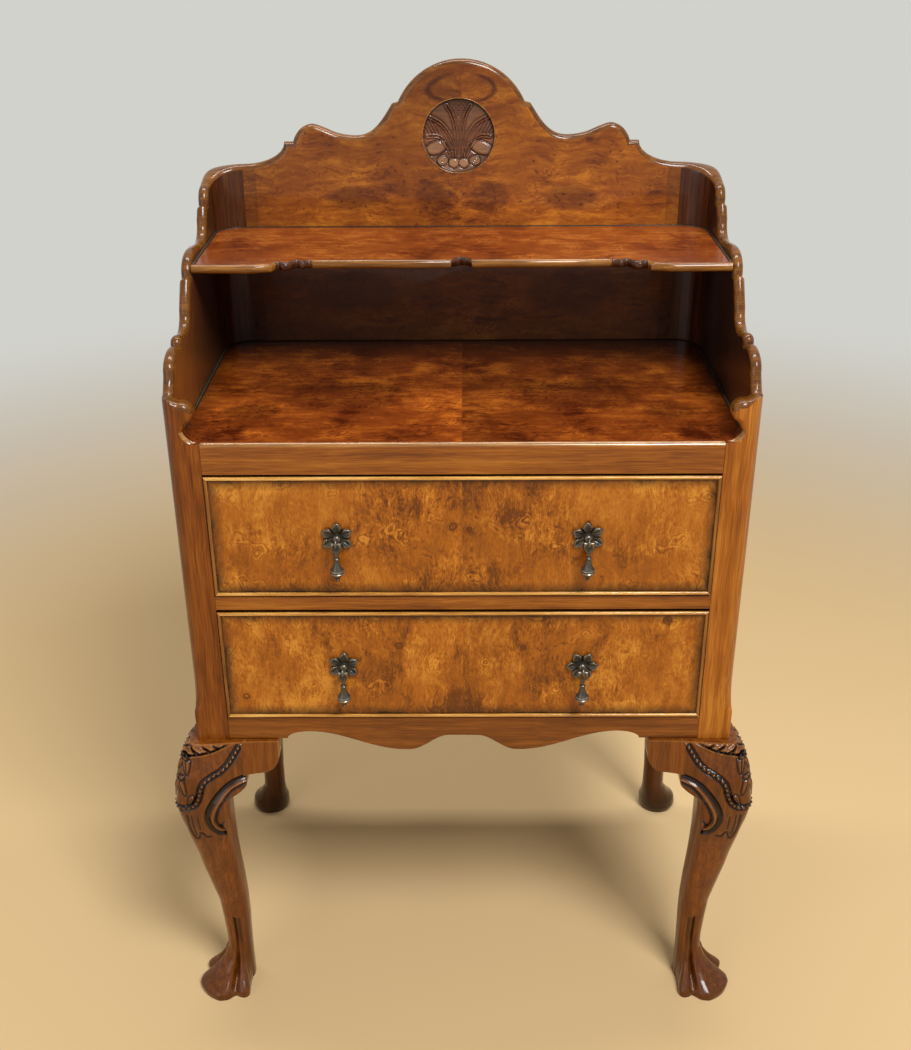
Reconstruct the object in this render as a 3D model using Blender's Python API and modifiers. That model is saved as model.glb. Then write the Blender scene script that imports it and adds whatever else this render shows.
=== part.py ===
"""Walnut bedside chest: two long drawers on carved cabriole legs, with a stepped three-sided gallery and a shelf.

Metres, +Z up, front towards -Y. The origin is on the floor, under the middle of the object's box.
Plain lengths are set here by hand, and everything else is worked out from them.
"""

import math

import bmesh
import bpy
from mathutils import Matrix, Vector

# Carcass
CARCASS_W = 0.500
CARCASS_D = 0.286
LEG_H = 0.313
BOTTOM_RAIL_H = 0.024
LOWER_OPENING_H = 0.116
DIVIDER_H = 0.014
UPPER_OPENING_H = 0.1185
TOP_RAIL_H = 0.028
RAIL_T = 0.018
DIVIDER_DEPTH = 0.040
STILE_W = 0.030
STILE_T = 0.018
STILE_ROUND_R = 0.016
STILE_ROUND_START = 0.045
SIDE_T = 0.013
TOP_T = 0.009
TOP_RAIL_ROUND_R = 0.0035
BACK_T = 0.006
BASE_T = 0.010

# Scrolled tops of the stiles
SCROLL_RISE = 0.0405
SCROLL_LOBE_R = 0.011
SCROLL_NECK_R = 0.012

# Gallery and shelf
GALLERY_T = 0.013
COVE_R = 0.025
CORNER_FULLNESS = 0.55
WING_RISE = 0.174
ARCH_RISE = 0.2035
ARCH_R = 0.0665
ROUNDEL_R = 0.0345
ROUNDEL_T = 0.005
SHELF_RISE = 0.117
SHELF_T = 0.008
SHELF_SETBACK = 0.117
SHELF_STEP = 0.026
SIDE_LEDGES = (0.147, 0.1055, 0.0625)
SIDE_HUMPS = (0.1235, 0.0705)

# Apron under the bottom rail
APRON_DROP = 0.013
APRON_LIFT = 0.008
APRON_MIDDLE_LIFT = 0.0035

# Drawers
DRAWER_SIDE_GAP = 0.0008
DRAWER_TOP_GAP = 0.0018
DRAWER_FOOT_GAP = 0.0016
FRONT_T = 0.018
BEAD_W = 0.003
BEAD_SEAT = 0.008
BEAD_PROUD = 0.0025
DRAWER_SIDE_T = 0.010
DRAWER_BACK_T = 0.009
DRAWER_BOTTOM_T = 0.005
DRAWER_BOTTOM_RISE = 0.008
DRAWER_HEADROOM = 0.004
DRAWER_STOP_GAP = 0.0008
RUNNER_W = 0.032
RUNNER_T = 0.0134
GUIDE_H = 0.030

# Drop handles
HANDLE_SPREAD = 0.217
PLATE_R = 0.0150
PLATE_T = 0.0016
BOLT_R = 0.0017
PIVOT_OUT = 0.0125
EYE_R = 0.0033
EYE_WIRE_R = 0.0011
LINK_R = 0.0040
LINK_WIRE_R = 0.0010
DROP_LENGTH = 0.0355
DROP_R = 0.0061
NUT_R = 0.0045
NUT_T = 0.003

# Legs and the ears beside their knees
LEG_BLOCK = 0.044
SPIGOT_R = 0.007
SPIGOT_H = 0.008
SPIGOT_IN = 0.0285
EAR_L = 0.032
EAR_H = 0.038
EAR_TIP_H = 0.0155
EAR_T = 0.017
EAR_PROUD = 0.002
EAR_SWELL = 0.009
ANKLE_IN = 0.016
ANKLE_R = 0.012
TOE_REACH = 0.0435
TOE_RELIEF = 0.0045
TOE_ANGLE = 57
HEEL_REACH = 0.015

# Clearances and fineness
GAP = 0.0003
ARRIS = 0.0006
RING_POINTS = 24
ROUND_STEPS = 16

HALF_W = CARCASS_W / 2
INNER_HALF = HALF_W - SIDE_T
OPENING_HALF = HALF_W - STILE_W
BOTTOM_RAIL_TOP = LEG_H + BOTTOM_RAIL_H
DIVIDER_Z = BOTTOM_RAIL_TOP + LOWER_OPENING_H
DIVIDER_TOP = DIVIDER_Z + DIVIDER_H
TOP_RAIL_Z = DIVIDER_TOP + UPPER_OPENING_H
TOP_Z = TOP_RAIL_Z + TOP_RAIL_H
TOP_UNDER = TOP_Z - TOP_T
INNER_D = CARCASS_D - GALLERY_T
CORNER_Y = INNER_D - COVE_R
CORNER_X = INNER_HALF - COVE_R
CARCASS_BACK_Y = CARCASS_D - BACK_T
LINK_HANG = EYE_R - EYE_WIRE_R - LINK_WIRE_R - GAP


def linear(hex_colour):
    """The linear RGBA of an sRGB hex colour."""
    channels = [int(hex_colour[i : i + 2], 16) / 255 for i in (1, 3, 5)]
    return [c / 12.92 if c <= 0.04045 else ((c + 0.055) / 1.055) ** 2.4 for c in channels] + [1.0]


def finish(name, hex_colour, roughness, metallic=0.0):
    material = bpy.data.materials.new(name)
    material.use_nodes = True
    shader = material.node_tree.nodes["Principled BSDF"]
    shader.inputs["Base Color"].default_value = linear(hex_colour)
    shader.inputs["Roughness"].default_value = roughness
    shader.inputs["Metallic"].default_value = metallic
    return material


def start():
    """An empty scene with one collection for the parts and one for the cutters."""
    for obj in list(bpy.data.objects):
        bpy.data.objects.remove(obj, do_unlink=True)
    found = []
    for name in ("nightstand", "cutters"):
        collection = bpy.data.collections.new(name)
        bpy.context.scene.collection.children.link(collection)
        found.append(collection)
    found[1].hide_render = True
    return found


PARTS, CUTTERS = start()

BURR_WALNUT = finish("burr walnut veneer", "#9A5A22", 0.28)
TOP_WALNUT = finish("top walnut veneer", "#8A4218", 0.25)
RAIL_WALNUT = finish("straight-grained walnut", "#7E4A20", 0.35)
LEG_WALNUT = finish("dark carved walnut", "#55301A", 0.32)
BEAD_WALNUT = finish("pale walnut bead", "#B5783A", 0.30)
DRAWER_OAK = finish("drawer-lining oak", "#A9814F", 0.60)
BACK_WOOD = finish("unpolished back wood", "#6B4A2C", 0.70)
BRONZE = finish("dark antique bronze", "#4A463E", 0.40, 1.0)
STEEL = finish("plain steel", "#77746E", 0.45, 1.0)


def add(name, mesh, material, smooth=False, helper=False):
    """A new object for a mesh, among the parts or, for a helper, among the cutters."""
    obj = bpy.data.objects.new(name, mesh)
    (CUTTERS if helper else PARTS).objects.link(obj)
    mesh.materials.append(material)
    if helper:
        obj.hide_render = True
        obj.display_type = "WIRE"
    if smooth:
        mesh.shade_smooth()
        mesh.set_sharp_from_angle(angle=math.radians(35))
    return obj


def close(bm, name):
    """A bmesh made into a mesh whose faces point outwards."""
    bmesh.ops.recalc_face_normals(bm, faces=bm.faces)
    mesh = bpy.data.meshes.new(name)
    bm.to_mesh(mesh)
    bm.free()
    return mesh


def box(name, low, high, material, arris=ARRIS, helper=False):
    bm = bmesh.new()
    bmesh.ops.create_cube(bm, size=1.0)
    size = Vector(high) - Vector(low)
    bmesh.ops.scale(bm, vec=size, verts=bm.verts)
    bmesh.ops.translate(bm, vec=(Vector(low) + Vector(high)) / 2, verts=bm.verts)
    obj = add(name, close(bm, name), material, helper=helper)
    if arris:
        bevel = obj.modifiers.new("arris", "BEVEL")
        bevel.width = arris
        bevel.segments = 1
    return obj


def loft(name, rings, material, loop=False, smooth=True, helper=False):
    """A skin through rings of equally many points, capped at both ends or joined into a loop."""
    bm = bmesh.new()
    rows = [[bm.verts.new(point) for point in ring] for ring in rings]
    pairs = list(zip(rows, rows[1:]))
    if loop:
        pairs.append((rows[-1], rows[0]))
    else:
        bm.faces.new(rows[0])
        bm.faces.new(rows[-1])
    for low, high in pairs:
        for i in range(len(low)):
            j = (i + 1) % len(low)
            bm.faces.new((low[i], low[j], high[j], high[i]))
    return add(name, close(bm, name), material, smooth, helper)


FRONT_PLANE = Matrix.Rotation(math.pi / 2, 4, "X")
SIDE_PLANE = Matrix.Rotation(math.pi / 2, 4, "Z") @ Matrix.Rotation(math.pi / 2, 4, "X")
FLOOR_PLANE = Matrix.Identity(4)


def board(name, outline, plane, low, high, material, helper=False):
    """A flat outline cut from a board that lies between two values along the plane's normal.

    The outline holds (x, z) points on FRONT_PLANE, (y, z) on SIDE_PLANE and (x, y) on FLOOR_PLANE.
    """
    curve = bpy.data.curves.new(name, "CURVE")
    curve.dimensions = "2D"
    curve.fill_mode = "BOTH"
    curve.extrude = (high - low) / 2
    spline = curve.splines.new("POLY")
    spline.points.add(len(outline) - 1)
    for point, (a, b) in zip(spline.points, outline):
        point.co = (a, b, 0.0, 1.0)
    spline.use_cyclic_u = True
    drawn = bpy.data.objects.new(name + "_outline", curve)
    bpy.context.scene.collection.objects.link(drawn)
    normal = Vector((0, 1, 0)) if plane is FRONT_PLANE else plane.to_3x3() @ Vector((0, 0, 1))
    drawn.matrix_world = Matrix.Translation(normal * (low + high) / 2) @ plane
    bpy.context.view_layer.update()
    graph = bpy.context.evaluated_depsgraph_get()
    mesh = bpy.data.meshes.new_from_object(drawn.evaluated_get(graph))
    mesh.transform(drawn.matrix_world)
    bpy.data.objects.remove(drawn, do_unlink=True)
    bm = bmesh.new()
    bm.from_mesh(mesh)
    bpy.data.meshes.remove(mesh)
    bmesh.ops.remove_doubles(bm, verts=bm.verts, dist=1e-6)
    bmesh.ops.dissolve_limit(bm, angle_limit=math.radians(0.5), verts=bm.verts, edges=bm.edges)
    return add(name, close(bm, name), material, helper=helper)


def lathe(name, profile, centre, axis, material, helper=False):
    """A turned solid: (radius, distance) pairs swept about an axis through a centre by a Screw modifier."""
    bm = bmesh.new()
    points = [bm.verts.new((radius, 0, along)) for radius, along in profile]
    for a, b in zip(points, points[1:]):
        bm.edges.new((a, b))
    mesh = bpy.data.meshes.new(name)
    bm.to_mesh(mesh)
    bm.free()
    obj = add(name, mesh, material, helper=helper)
    screw = obj.modifiers.new("turned", "SCREW")
    screw.axis = "Z"
    screw.steps = ROUND_STEPS
    screw.render_steps = ROUND_STEPS
    screw.use_merge_vertices = True
    screw.merge_threshold = 0.00001
    turn = Vector((0, 0, 1)).rotation_difference(Vector(axis)).to_matrix().to_4x4()
    obj.matrix_world = Matrix.Translation(centre) @ turn
    return obj


def ring_wire(name, centre, radius, wire, axis, material):
    """A round wire bent into a closed ring, as a helper to be joined to another piece."""
    bpy.ops.mesh.primitive_torus_add(
        major_radius=radius, minor_radius=wire, major_segments=20, minor_segments=8
    )
    obj = bpy.context.object
    mesh = obj.data
    turn = Vector((0, 0, 1)).rotation_difference(Vector(axis)).to_matrix().to_4x4()
    mesh.transform(Matrix.Translation(centre) @ turn)
    bpy.data.objects.remove(obj, do_unlink=True)
    mesh.name = name
    return add(name, mesh, material, helper=True)


def combine(obj, other, operation):
    modifier = obj.modifiers.new(other.name, "BOOLEAN")
    modifier.operation = operation
    modifier.object = other


def pin_cutter(name, centre, radius, length, axis):
    """A cylinder, helper only, centred on a point and running along an axis."""
    half = length / 2
    profile = [(0, half), (radius, half), (radius, -half), (0, -half)]
    return lathe(name, profile, centre, axis, STEEL, helper=True)


def quarter(a, b, flat_first, steps=5):
    """A quarter ellipse from a to b that leaves a level (flat_first) or upright, without its first point."""
    points = []
    for i in range(1, steps + 1):
        turn = math.pi / 2 * i / steps
        across, along = (math.sin(turn), 1 - math.cos(turn))
        if not flat_first:
            across, along = along, across
        points.append((a[0] + (b[0] - a[0]) * across, a[1] + (b[1] - a[1]) * along))
    return points


def ogee(a, b, steps=6):
    """An S curve from a to b, level at both ends, without its first point."""
    points = []
    for i in range(1, steps + 1):
        share = i / steps
        rise = (1 - math.cos(math.pi * share)) / 2
        points.append((a[0] + (b[0] - a[0]) * share, a[1] + (b[1] - a[1]) * rise))
    return points


def arc(centre, radius, start_deg, end_deg, steps):
    points = []
    for i in range(steps + 1):
        turn = math.radians(start_deg + (end_deg - start_deg) * i / steps)
        points.append((centre[0] + radius * math.cos(turn), centre[1] + radius * math.sin(turn)))
    return points


def mirrored(half):
    """A closed outline from its right half, which runs between two points on the middle line."""
    left = [(-x, z) for x, z in reversed(half) if abs(x) > 1e-9]
    return half + left


def sides():
    """(name, sign) of the left and right hand."""
    return (("left", -1), ("right", 1))


def hand(outline, sign):
    return [(sign * x, z) for x, z in outline]


# The carcass is drawn with its front faces at y = 0 and slid back under the origin at the end.


def rails_and_stiles():
    span = OPENING_HALF - GAP
    radius = TOP_RAIL_ROUND_R
    section = [(0, TOP_RAIL_Z), (RAIL_T, TOP_RAIL_Z), (RAIL_T, TOP_Z)]
    section += arc((radius, TOP_Z - radius), radius, 90, 180, 5)
    board("top_rail", section, SIDE_PLANE, -span, span, RAIL_WALNUT)
    box("divider_rail", (-span, 0, DIVIDER_Z), (span, DIVIDER_DEPTH, DIVIDER_TOP), RAIL_WALNUT)
    ear_end = HALF_W - LEG_BLOCK - EAR_L
    dip = 0.30 * ear_end
    half = [(0, BOTTOM_RAIL_TOP), (span, BOTTOM_RAIL_TOP), (span, LEG_H), (0.95 * ear_end, LEG_H)]
    half += quarter(half[-1], (0.83 * ear_end, LEG_H + APRON_LIFT), False)
    half += ogee(half[-1], (dip + 0.01 * ear_end, LEG_H - APRON_DROP), 8)
    half += ogee(half[-1], (0.075 * ear_end, LEG_H + APRON_MIDDLE_LIFT))
    half.append((0, LEG_H + APRON_MIDDLE_LIFT))
    board("bottom_rail", mirrored(half), FRONT_PLANE, 0, RAIL_T, RAIL_WALNUT)
    for side, sign in sides():
        stile = board(
            "front_stile_" + side, hand(stile_outline(), sign), FRONT_PLANE, 0, STILE_T, RAIL_WALNUT
        )
        combine(stile, stile_round_cutter(side, sign), "DIFFERENCE")


def stile_outline():
    """Front view of the right stile, with the scroll that ends the gallery's side above the top board."""
    inner = OPENING_HALF
    lobe = (inner + SCROLL_NECK_R + 0.0005, TOP_Z + SCROLL_RISE - SCROLL_LOBE_R - 0.0025)
    cusp = (inner + SCROLL_NECK_R, TOP_Z + SCROLL_NECK_R)
    outline = [(HALF_W, LEG_H), (HALF_W, TOP_Z + SCROLL_RISE)]
    outline += arc(lobe, SCROLL_LOBE_R, 80, 250, 10)
    outline += arc((inner, cusp[1]), SCROLL_NECK_R, 0, -90, 6)
    outline.append((inner, LEG_H))
    return outline


def stile_round_cutter(side, sign):
    """What the rounded front corner takes off a stile, above its square foot."""
    centre = (HALF_W - STILE_ROUND_R, STILE_ROUND_R)
    waste = arc(centre, STILE_ROUND_R, -90, 0, 8)
    waste += [(HALF_W + 0.01, centre[1]), (HALF_W + 0.01, -0.01), (centre[0], -0.01)]
    low = LEG_H + STILE_ROUND_START
    return board(
        "stile_round_" + side, hand(waste, sign), FLOOR_PLANE, low, TOP_Z + 0.2, RAIL_WALNUT, helper=True
    )


def side_top():
    """The stepped top edge of a gallery side, (y, z) from the rear corner forwards to the stile."""
    run = CORNER_Y - STILE_T

    def back_from_stile(share):
        return STILE_T + run * share

    ledge, hump = SIDE_LEDGES, SIDE_HUMPS
    line = [(CORNER_Y, corner_top(0.0))]
    line += quarter(line[-1], (back_from_stile(0.945), TOP_Z + ledge[0]), True)
    line.append((back_from_stile(0.905), TOP_Z + ledge[0]))
    line += quarter(line[-1], (back_from_stile(0.80), TOP_Z + hump[0] - 0.003), False)
    line += ogee(line[-1], (back_from_stile(0.60), TOP_Z + hump[0]), 4)
    line += quarter(line[-1], (back_from_stile(0.495), TOP_Z + ledge[1]), True)
    line.append((back_from_stile(0.46), TOP_Z + ledge[1]))
    line += quarter(line[-1], (back_from_stile(0.345), TOP_Z + hump[1] - 0.001), False)
    line += ogee(line[-1], (back_from_stile(0.21), TOP_Z + hump[1]), 3)
    line += quarter(line[-1], (back_from_stile(0.155), TOP_Z + ledge[2]), True, 3)
    line.append((back_from_stile(0.105), TOP_Z + ledge[2]))
    line += quarter(line[-1], (STILE_T + GAP, TOP_Z + SCROLL_RISE), True)
    return line


def corner_top(share):
    """Height of the gallery's corner, from its side end (0) to its back end (1)."""
    low = TOP_Z + WING_RISE - 0.0125
    return low + (TOP_Z + WING_RISE - low) * math.sin(math.pi / 2 * share)


def gallery_back_outline():
    """Front view of the gallery back: an arch on two waves, with square shoulders below the top board."""
    reach = CORNER_X - GAP
    wing = TOP_Z + WING_RISE
    middle = TOP_Z + ARCH_RISE
    half = arc((0, middle), ARCH_R, 90, 25, 12)
    start, step = half[-1][0], 0.0055
    half.append((start + step, half[-1][1] - 0.0015))
    run = reach - half[-1][0]
    base = half[-1][0]
    half += ogee(half[-1], (base + 0.26 * run, wing + 0.027))
    half += ogee(half[-1], (base + 0.54 * run, wing + 0.0377))
    half += quarter(half[-1], (base + 0.67 * run, wing + 0.0215), True)
    half.append((base + 0.72 * run, wing + 0.0215))
    half += quarter(half[-1], (base + 0.90 * run, wing), False)
    half += [(reach, wing), (reach, TOP_Z + GAP)]
    shoulder = INNER_HALF - GAP
    half += [(shoulder, TOP_Z - GAP), (shoulder, TOP_RAIL_Z), (0, TOP_RAIL_Z)]
    return mirrored(half)


def panels():
    for side, sign in sides():
        outline = [(STILE_T + GAP, LEG_H), (CARCASS_D, LEG_H), (CARCASS_D, TOP_Z), (CORNER_Y, TOP_Z)]
        outline += side_top()
        low, high = sorted((sign * INNER_HALF, sign * HALF_W))
        board("side_panel_" + side, outline, SIDE_PLANE, low, high, RAIL_WALNUT)
        gallery_corner(side, sign)
    back = board(
        "gallery_back", gallery_back_outline(), FRONT_PLANE, INNER_D, CARCASS_D, BURR_WALNUT
    )
    middle = TOP_Z + ARCH_RISE
    sunk = ROUNDEL_T + 2 * GAP
    pocket = pin_cutter(
        "roundel_pocket", (0, INNER_D, middle), ROUNDEL_R + GAP, 2 * sunk, (0, 1, 0)
    )
    combine(back, pocket, "DIFFERENCE")
    dish = [
        (0, ROUNDEL_T - 0.003),
        (0.7 * ROUNDEL_R, ROUNDEL_T - 0.0022),
        (0.93 * ROUNDEL_R, ROUNDEL_T - 0.0004),
        (ROUNDEL_R, ROUNDEL_T),
        (ROUNDEL_R, 0),
        (0, 0),
    ]
    lathe("carved_roundel", dish, (0, INNER_D + ROUNDEL_T + GAP, middle), (0, -1, 0), LEG_WALNUT)
    reach = INNER_HALF - GAP
    box(
        "carcass_back",
        (-reach, CARCASS_BACK_Y, LEG_H),
        (reach, CARCASS_D, TOP_RAIL_Z - GAP),
        BACK_WOOD,
    )


def gallery_corner(side, sign):
    """The coved corner block between a gallery side and the gallery back."""
    rings = []
    steps = 8
    for i in range(steps + 1):
        share = i / steps
        turn = math.pi / 2 * share
        across, back = math.cos(turn), math.sin(turn)
        foot = Vector((sign * CORNER_X, CORNER_Y + GAP, TOP_Z + GAP))
        rise = Vector((0, 0, corner_top(share) - TOP_Z - GAP))
        inner = foot + COVE_R * Vector((sign * across, back, 0))
        fuller = Vector((sign * across**CORNER_FULLNESS, back**CORNER_FULLNESS, 0))
        outer = foot + (COVE_R + SIDE_T - GAP) * fuller
        rings.append([inner, outer, outer + rise, inner + rise])
    loft("gallery_corner_" + side, rings, RAIL_WALNUT)


def rounded_rear(half_width, depth):
    """The right half of a board's rear edge, from its side round the cove to the middle."""
    radius = COVE_R - GAP
    centre = (half_width - radius, depth - radius)
    return arc(centre, radius, 0, 90, 6) + [(0, depth)]


def top_and_shelf():
    reach = INNER_HALF - GAP
    front = max(RAIL_T, STILE_T) + GAP
    half = [(0, front), (reach, front)] + rounded_rear(reach, INNER_D - GAP)
    board("top_board", mirrored(half), FLOOR_PLANE, TOP_UNDER, TOP_Z, TOP_WALNUT)
    half = [(0, SHELF_SETBACK + SHELF_STEP + 0.006), (0.03 * reach, SHELF_SETBACK + SHELF_STEP)]
    half.append((0.60 * reach, SHELF_SETBACK + SHELF_STEP))
    half += ogee(half[-1], (0.70 * reach, SHELF_SETBACK))
    half += ogee(half[-1], (reach, SHELF_SETBACK + 0.7 * SHELF_STEP))
    half += rounded_rear(reach, INNER_D - GAP)
    shelf_z = TOP_Z + SHELF_RISE
    board("gallery_shelf", mirrored(half), FLOOR_PLANE, shelf_z - SHELF_T, shelf_z, TOP_WALNUT)


def inside():
    """The base board, and the runners and kickers that carry and hold down the drawers."""
    base_top = LEG_H + BASE_T
    reach = INNER_HALF - GAP
    rear = CARCASS_BACK_Y - GAP
    base = box("base_board", (-reach, RAIL_T + GAP, LEG_H), (reach, rear, base_top), BACK_WOOD, arris=0)
    for corner, place in corners().items():
        hole = pin_cutter(
            "spigot_hole_" + corner, place(SPIGOT_IN, SPIGOT_IN, LEG_H), SPIGOT_R + GAP, 0.06, (0, 0, 1)
        )
        combine(base, hole, "DIFFERENCE")
    guide = OPENING_HALF + GAP
    for side, sign in sides():
        for drawer, top, front in (
            ("upper", DIVIDER_TOP, DIVIDER_DEPTH + GAP),
            ("lower", BOTTOM_RAIL_TOP, RAIL_T + GAP),
        ):
            foot = max(top - RUNNER_T, base_top + GAP) if drawer == "lower" else top - RUNNER_T
            section = [
                (reach - RUNNER_W, foot),
                (reach, foot),
                (reach, top + GUIDE_H),
                (guide, top + GUIDE_H),
                (guide, top),
                (reach - RUNNER_W, top),
            ]
            name = drawer + "_runner_" + side
            board(name, hand(section, sign), FRONT_PLANE, front, rear, DRAWER_OAK)
        low, high = sorted((sign * (reach - RUNNER_W), sign * reach))
        box(
            "kicker_" + side,
            (low, RAIL_T + GAP, TOP_RAIL_Z),
            (high, INNER_D - GAP, TOP_UNDER - GAP),
            DRAWER_OAK,
        )


def rectangle(half_width, low, high, y):
    return [(-half_width, y, low), (half_width, y, low), (half_width, y, high), (-half_width, y, high)]


def drawer(name, floor, ceiling):
    """One drawer between its rails; its pieces are carried by an empty on the line it slides along."""
    half = OPENING_HALF - DRAWER_SIDE_GAP
    low, high = floor + DRAWER_FOOT_GAP, ceiling - DRAWER_TOP_GAP
    inner = half - BEAD_W - GAP
    front = loft(
        name + "_front",
        [
            rectangle(inner, low + BEAD_W + GAP, high - BEAD_W - GAP, 0),
            rectangle(inner, low + BEAD_W + GAP, high - BEAD_W - GAP, BEAD_SEAT + GAP),
            rectangle(half, low, high, BEAD_SEAT + GAP),
            rectangle(half, low, high, FRONT_T),
        ],
        BURR_WALNUT,
        smooth=False,
    )
    bead_inner = half - BEAD_W
    bead = loft(
        name + "_cockbead",
        [
            rectangle(bead_inner, low + BEAD_W, high - BEAD_W, BEAD_SEAT),
            rectangle(half, low, high, BEAD_SEAT),
            rectangle(half, low, high, 0.4 * BEAD_W - BEAD_PROUD),
            rectangle(half - 0.3 * BEAD_W, low + 0.3 * BEAD_W, high - 0.3 * BEAD_W, -BEAD_PROUD),
            rectangle(half - 0.7 * BEAD_W, low + 0.7 * BEAD_W, high - 0.7 * BEAD_W, -BEAD_PROUD),
            rectangle(bead_inner, low + BEAD_W, high - BEAD_W, 0.4 * BEAD_W - BEAD_PROUD),
        ],
        BEAD_WALNUT,
        loop=True,
        smooth=False,
    )
    foot, head = floor + GAP, ceiling - DRAWER_HEADROOM
    start, end = FRONT_T + GAP, CARCASS_BACK_Y - DRAWER_STOP_GAP
    pieces = [front, bead]
    for side, sign in sides():
        x0, x1 = sorted((sign * (half - DRAWER_SIDE_T), sign * half))
        pieces.append(box(name + "_side_" + side, (x0, start, foot), (x1, end, head), DRAWER_OAK))
    span = half - DRAWER_SIDE_T - GAP
    bottom = foot + DRAWER_BOTTOM_RISE
    pieces.append(
        box(name + "_bottom", (-span, start, bottom), (span, end, bottom + DRAWER_BOTTOM_T), DRAWER_OAK)
    )
    back_foot = bottom + DRAWER_BOTTOM_T + GAP
    pieces.append(
        box(name + "_back", (-span, end - DRAWER_BACK_T, back_foot), (span, end, head), DRAWER_OAK)
    )
    middle = (low + high) / 2
    carrier = empty(name, (0, 0, middle))
    for piece in pieces:
        carry(piece, carrier)
    for side, sign in sides():
        handle(name, side, (sign * HANDLE_SPREAD / 2, middle), front, carrier)


def empty(name, place):
    obj = bpy.data.objects.new(name + "_axis", None)
    obj.empty_display_size = 0.02
    obj.location = place
    PARTS.objects.link(obj)
    bpy.context.view_layer.update()
    return obj


def carry(obj, carrier):
    """Parents an object to an empty and leaves it where it is."""
    obj.parent = carrier
    obj.matrix_parent_inverse = carrier.matrix_world.inverted()


def petal_ring(scale, out, x, z):
    """A ring round a handle's plate, whose six petals come to points."""
    points = []
    for i in range(RING_POINTS):
        turn = math.tau * i / RING_POINTS
        reach = PLATE_R * (1.0, 0.84, 0.62, 0.84)[i % 4] * scale
        points.append((x + reach * math.sin(turn), -out, z + reach * math.cos(turn)))
    return points


def round_ring(radius, out, x, z):
    turns = [math.tau * i / RING_POINTS for i in range(RING_POINTS)]
    return [(x + radius * math.sin(turn), -out, z + radius * math.cos(turn)) for turn in turns]


def handle(drawer_name, side, place, front, carrier):
    """A petalled plate, the eye bolt and nut that hold it, and the drop that swings in the eye."""
    name = drawer_name.replace("drawer", side)
    x, z = place
    hole = BOLT_R + GAP
    boss = 0.30 * PLATE_R
    plate = loft(
        name + "_plate",
        [
            round_ring(hole, GAP, x, z),
            petal_ring(1.0, GAP, x, z),
            petal_ring(1.0, 0.5 * PLATE_T + GAP, x, z),
            petal_ring(0.8, PLATE_T + GAP, x, z),
            round_ring(boss, 1.1 * PLATE_T, x, z),
            round_ring(0.8 * boss, 2.4 * PLATE_T, x, z),
            round_ring(hole, 2.8 * PLATE_T, x, z),
        ],
        BRONZE,
        loop=True,
    )
    carry(plate, carrier)
    combine(front, pin_cutter(name + "_bolt_hole", (x, 0, z), hole, 0.1, (0, 1, 0)), "DIFFERENCE")
    collar = 2.8 * PLATE_T + GAP
    neck_end = PIVOT_OUT - EYE_R + 0.3 * EYE_WIRE_R
    tail = FRONT_T + NUT_T + 0.004
    shank = [
        (0, neck_end),
        (0.75 * BOLT_R, neck_end),
        (0.75 * BOLT_R, collar + 0.0018),
        (1.5 * BOLT_R, collar + 0.0015),
        (1.5 * BOLT_R, collar),
        (BOLT_R, collar),
        (BOLT_R, -tail),
        (0, -tail),
    ]
    bolt = lathe(name + "_eye_bolt", shank, (x, 0, z), (0, -1, 0), BRONZE)
    eye = (x, -PIVOT_OUT, z)
    combine(bolt, ring_wire(name + "_eye", eye, EYE_R, EYE_WIRE_R, (1, 0, 0), BRONZE), "UNION")
    pivot = (x, -PIVOT_OUT, z - LINK_HANG)
    carry(bolt, carrier)
    washer = FRONT_T + GAP
    nut_sides = 6
    nut_rings = []
    for radius, along in ((NUT_R, washer), (NUT_R, washer + NUT_T), (hole, washer + NUT_T), (hole, washer)):
        ring = []
        for i in range(2 * nut_sides):
            turn = math.tau * i / (2 * nut_sides)
            flat = math.cos(math.pi / nut_sides) if i % 2 and radius == NUT_R else 1.0
            ring.append((x + flat * radius * math.sin(turn), along, z + flat * radius * math.cos(turn)))
        nut_rings.append(ring)
    carry(loft(name + "_nut", nut_rings, STEEL, loop=True, smooth=False), carrier)
    swing = empty(name + "_drop", pivot)
    carry(swing, carrier)
    carry(drop(name, pivot), swing)


def drop(name, pivot):
    """The turned pear drop, hanging from its own link through the eye."""
    top = 2 * LINK_R - 0.3 * LINK_WIRE_R
    shares = (
        (0.00, 0.24),
        (0.08, 0.26),
        (0.10, 0.50),
        (0.16, 0.50),
        (0.19, 0.30),
        (0.36, 0.50),
        (0.60, 1.00),
        (0.66, 1.00),
        (0.71, 0.66),
        (0.76, 0.74),
        (0.81, 0.62),
        (0.90, 0.40),
        (0.97, 0.22),
    )
    run = DROP_LENGTH - top
    profile = [(0, -top)]
    profile += [(DROP_R * wide, -top - run * down) for down, wide in shares]
    profile.append((0, -DROP_LENGTH))
    solid = lathe(name + "_drop", profile, pivot, (0, 0, 1), BRONZE)
    link_centre = (pivot[0], pivot[1], pivot[2] - LINK_R)
    link = ring_wire(name + "_link", link_centre, LINK_R, LINK_WIRE_R, (0, 1, 0), BRONZE)
    combine(solid, link, "UNION")
    return solid


def corners():
    """For each corner, the place of a point given inwards from the side and from the front or back."""

    def at(sign, from_back):
        def place(u, v, z):
            return Vector((sign * (HALF_W - u), CARCASS_D - v if from_back else v, z))

        return place

    return {
        "front_left": at(-1, False),
        "front_right": at(1, False),
        "back_left": at(-1, True),
        "back_right": at(1, True),
    }


def leg_turns():
    """The directions, in degrees, of a leg section's points: seven round each corner of the square."""
    return [180 + 90 * corner + 2 + 86 * i / 6 for corner in range(4) for i in range(7)]


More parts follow.
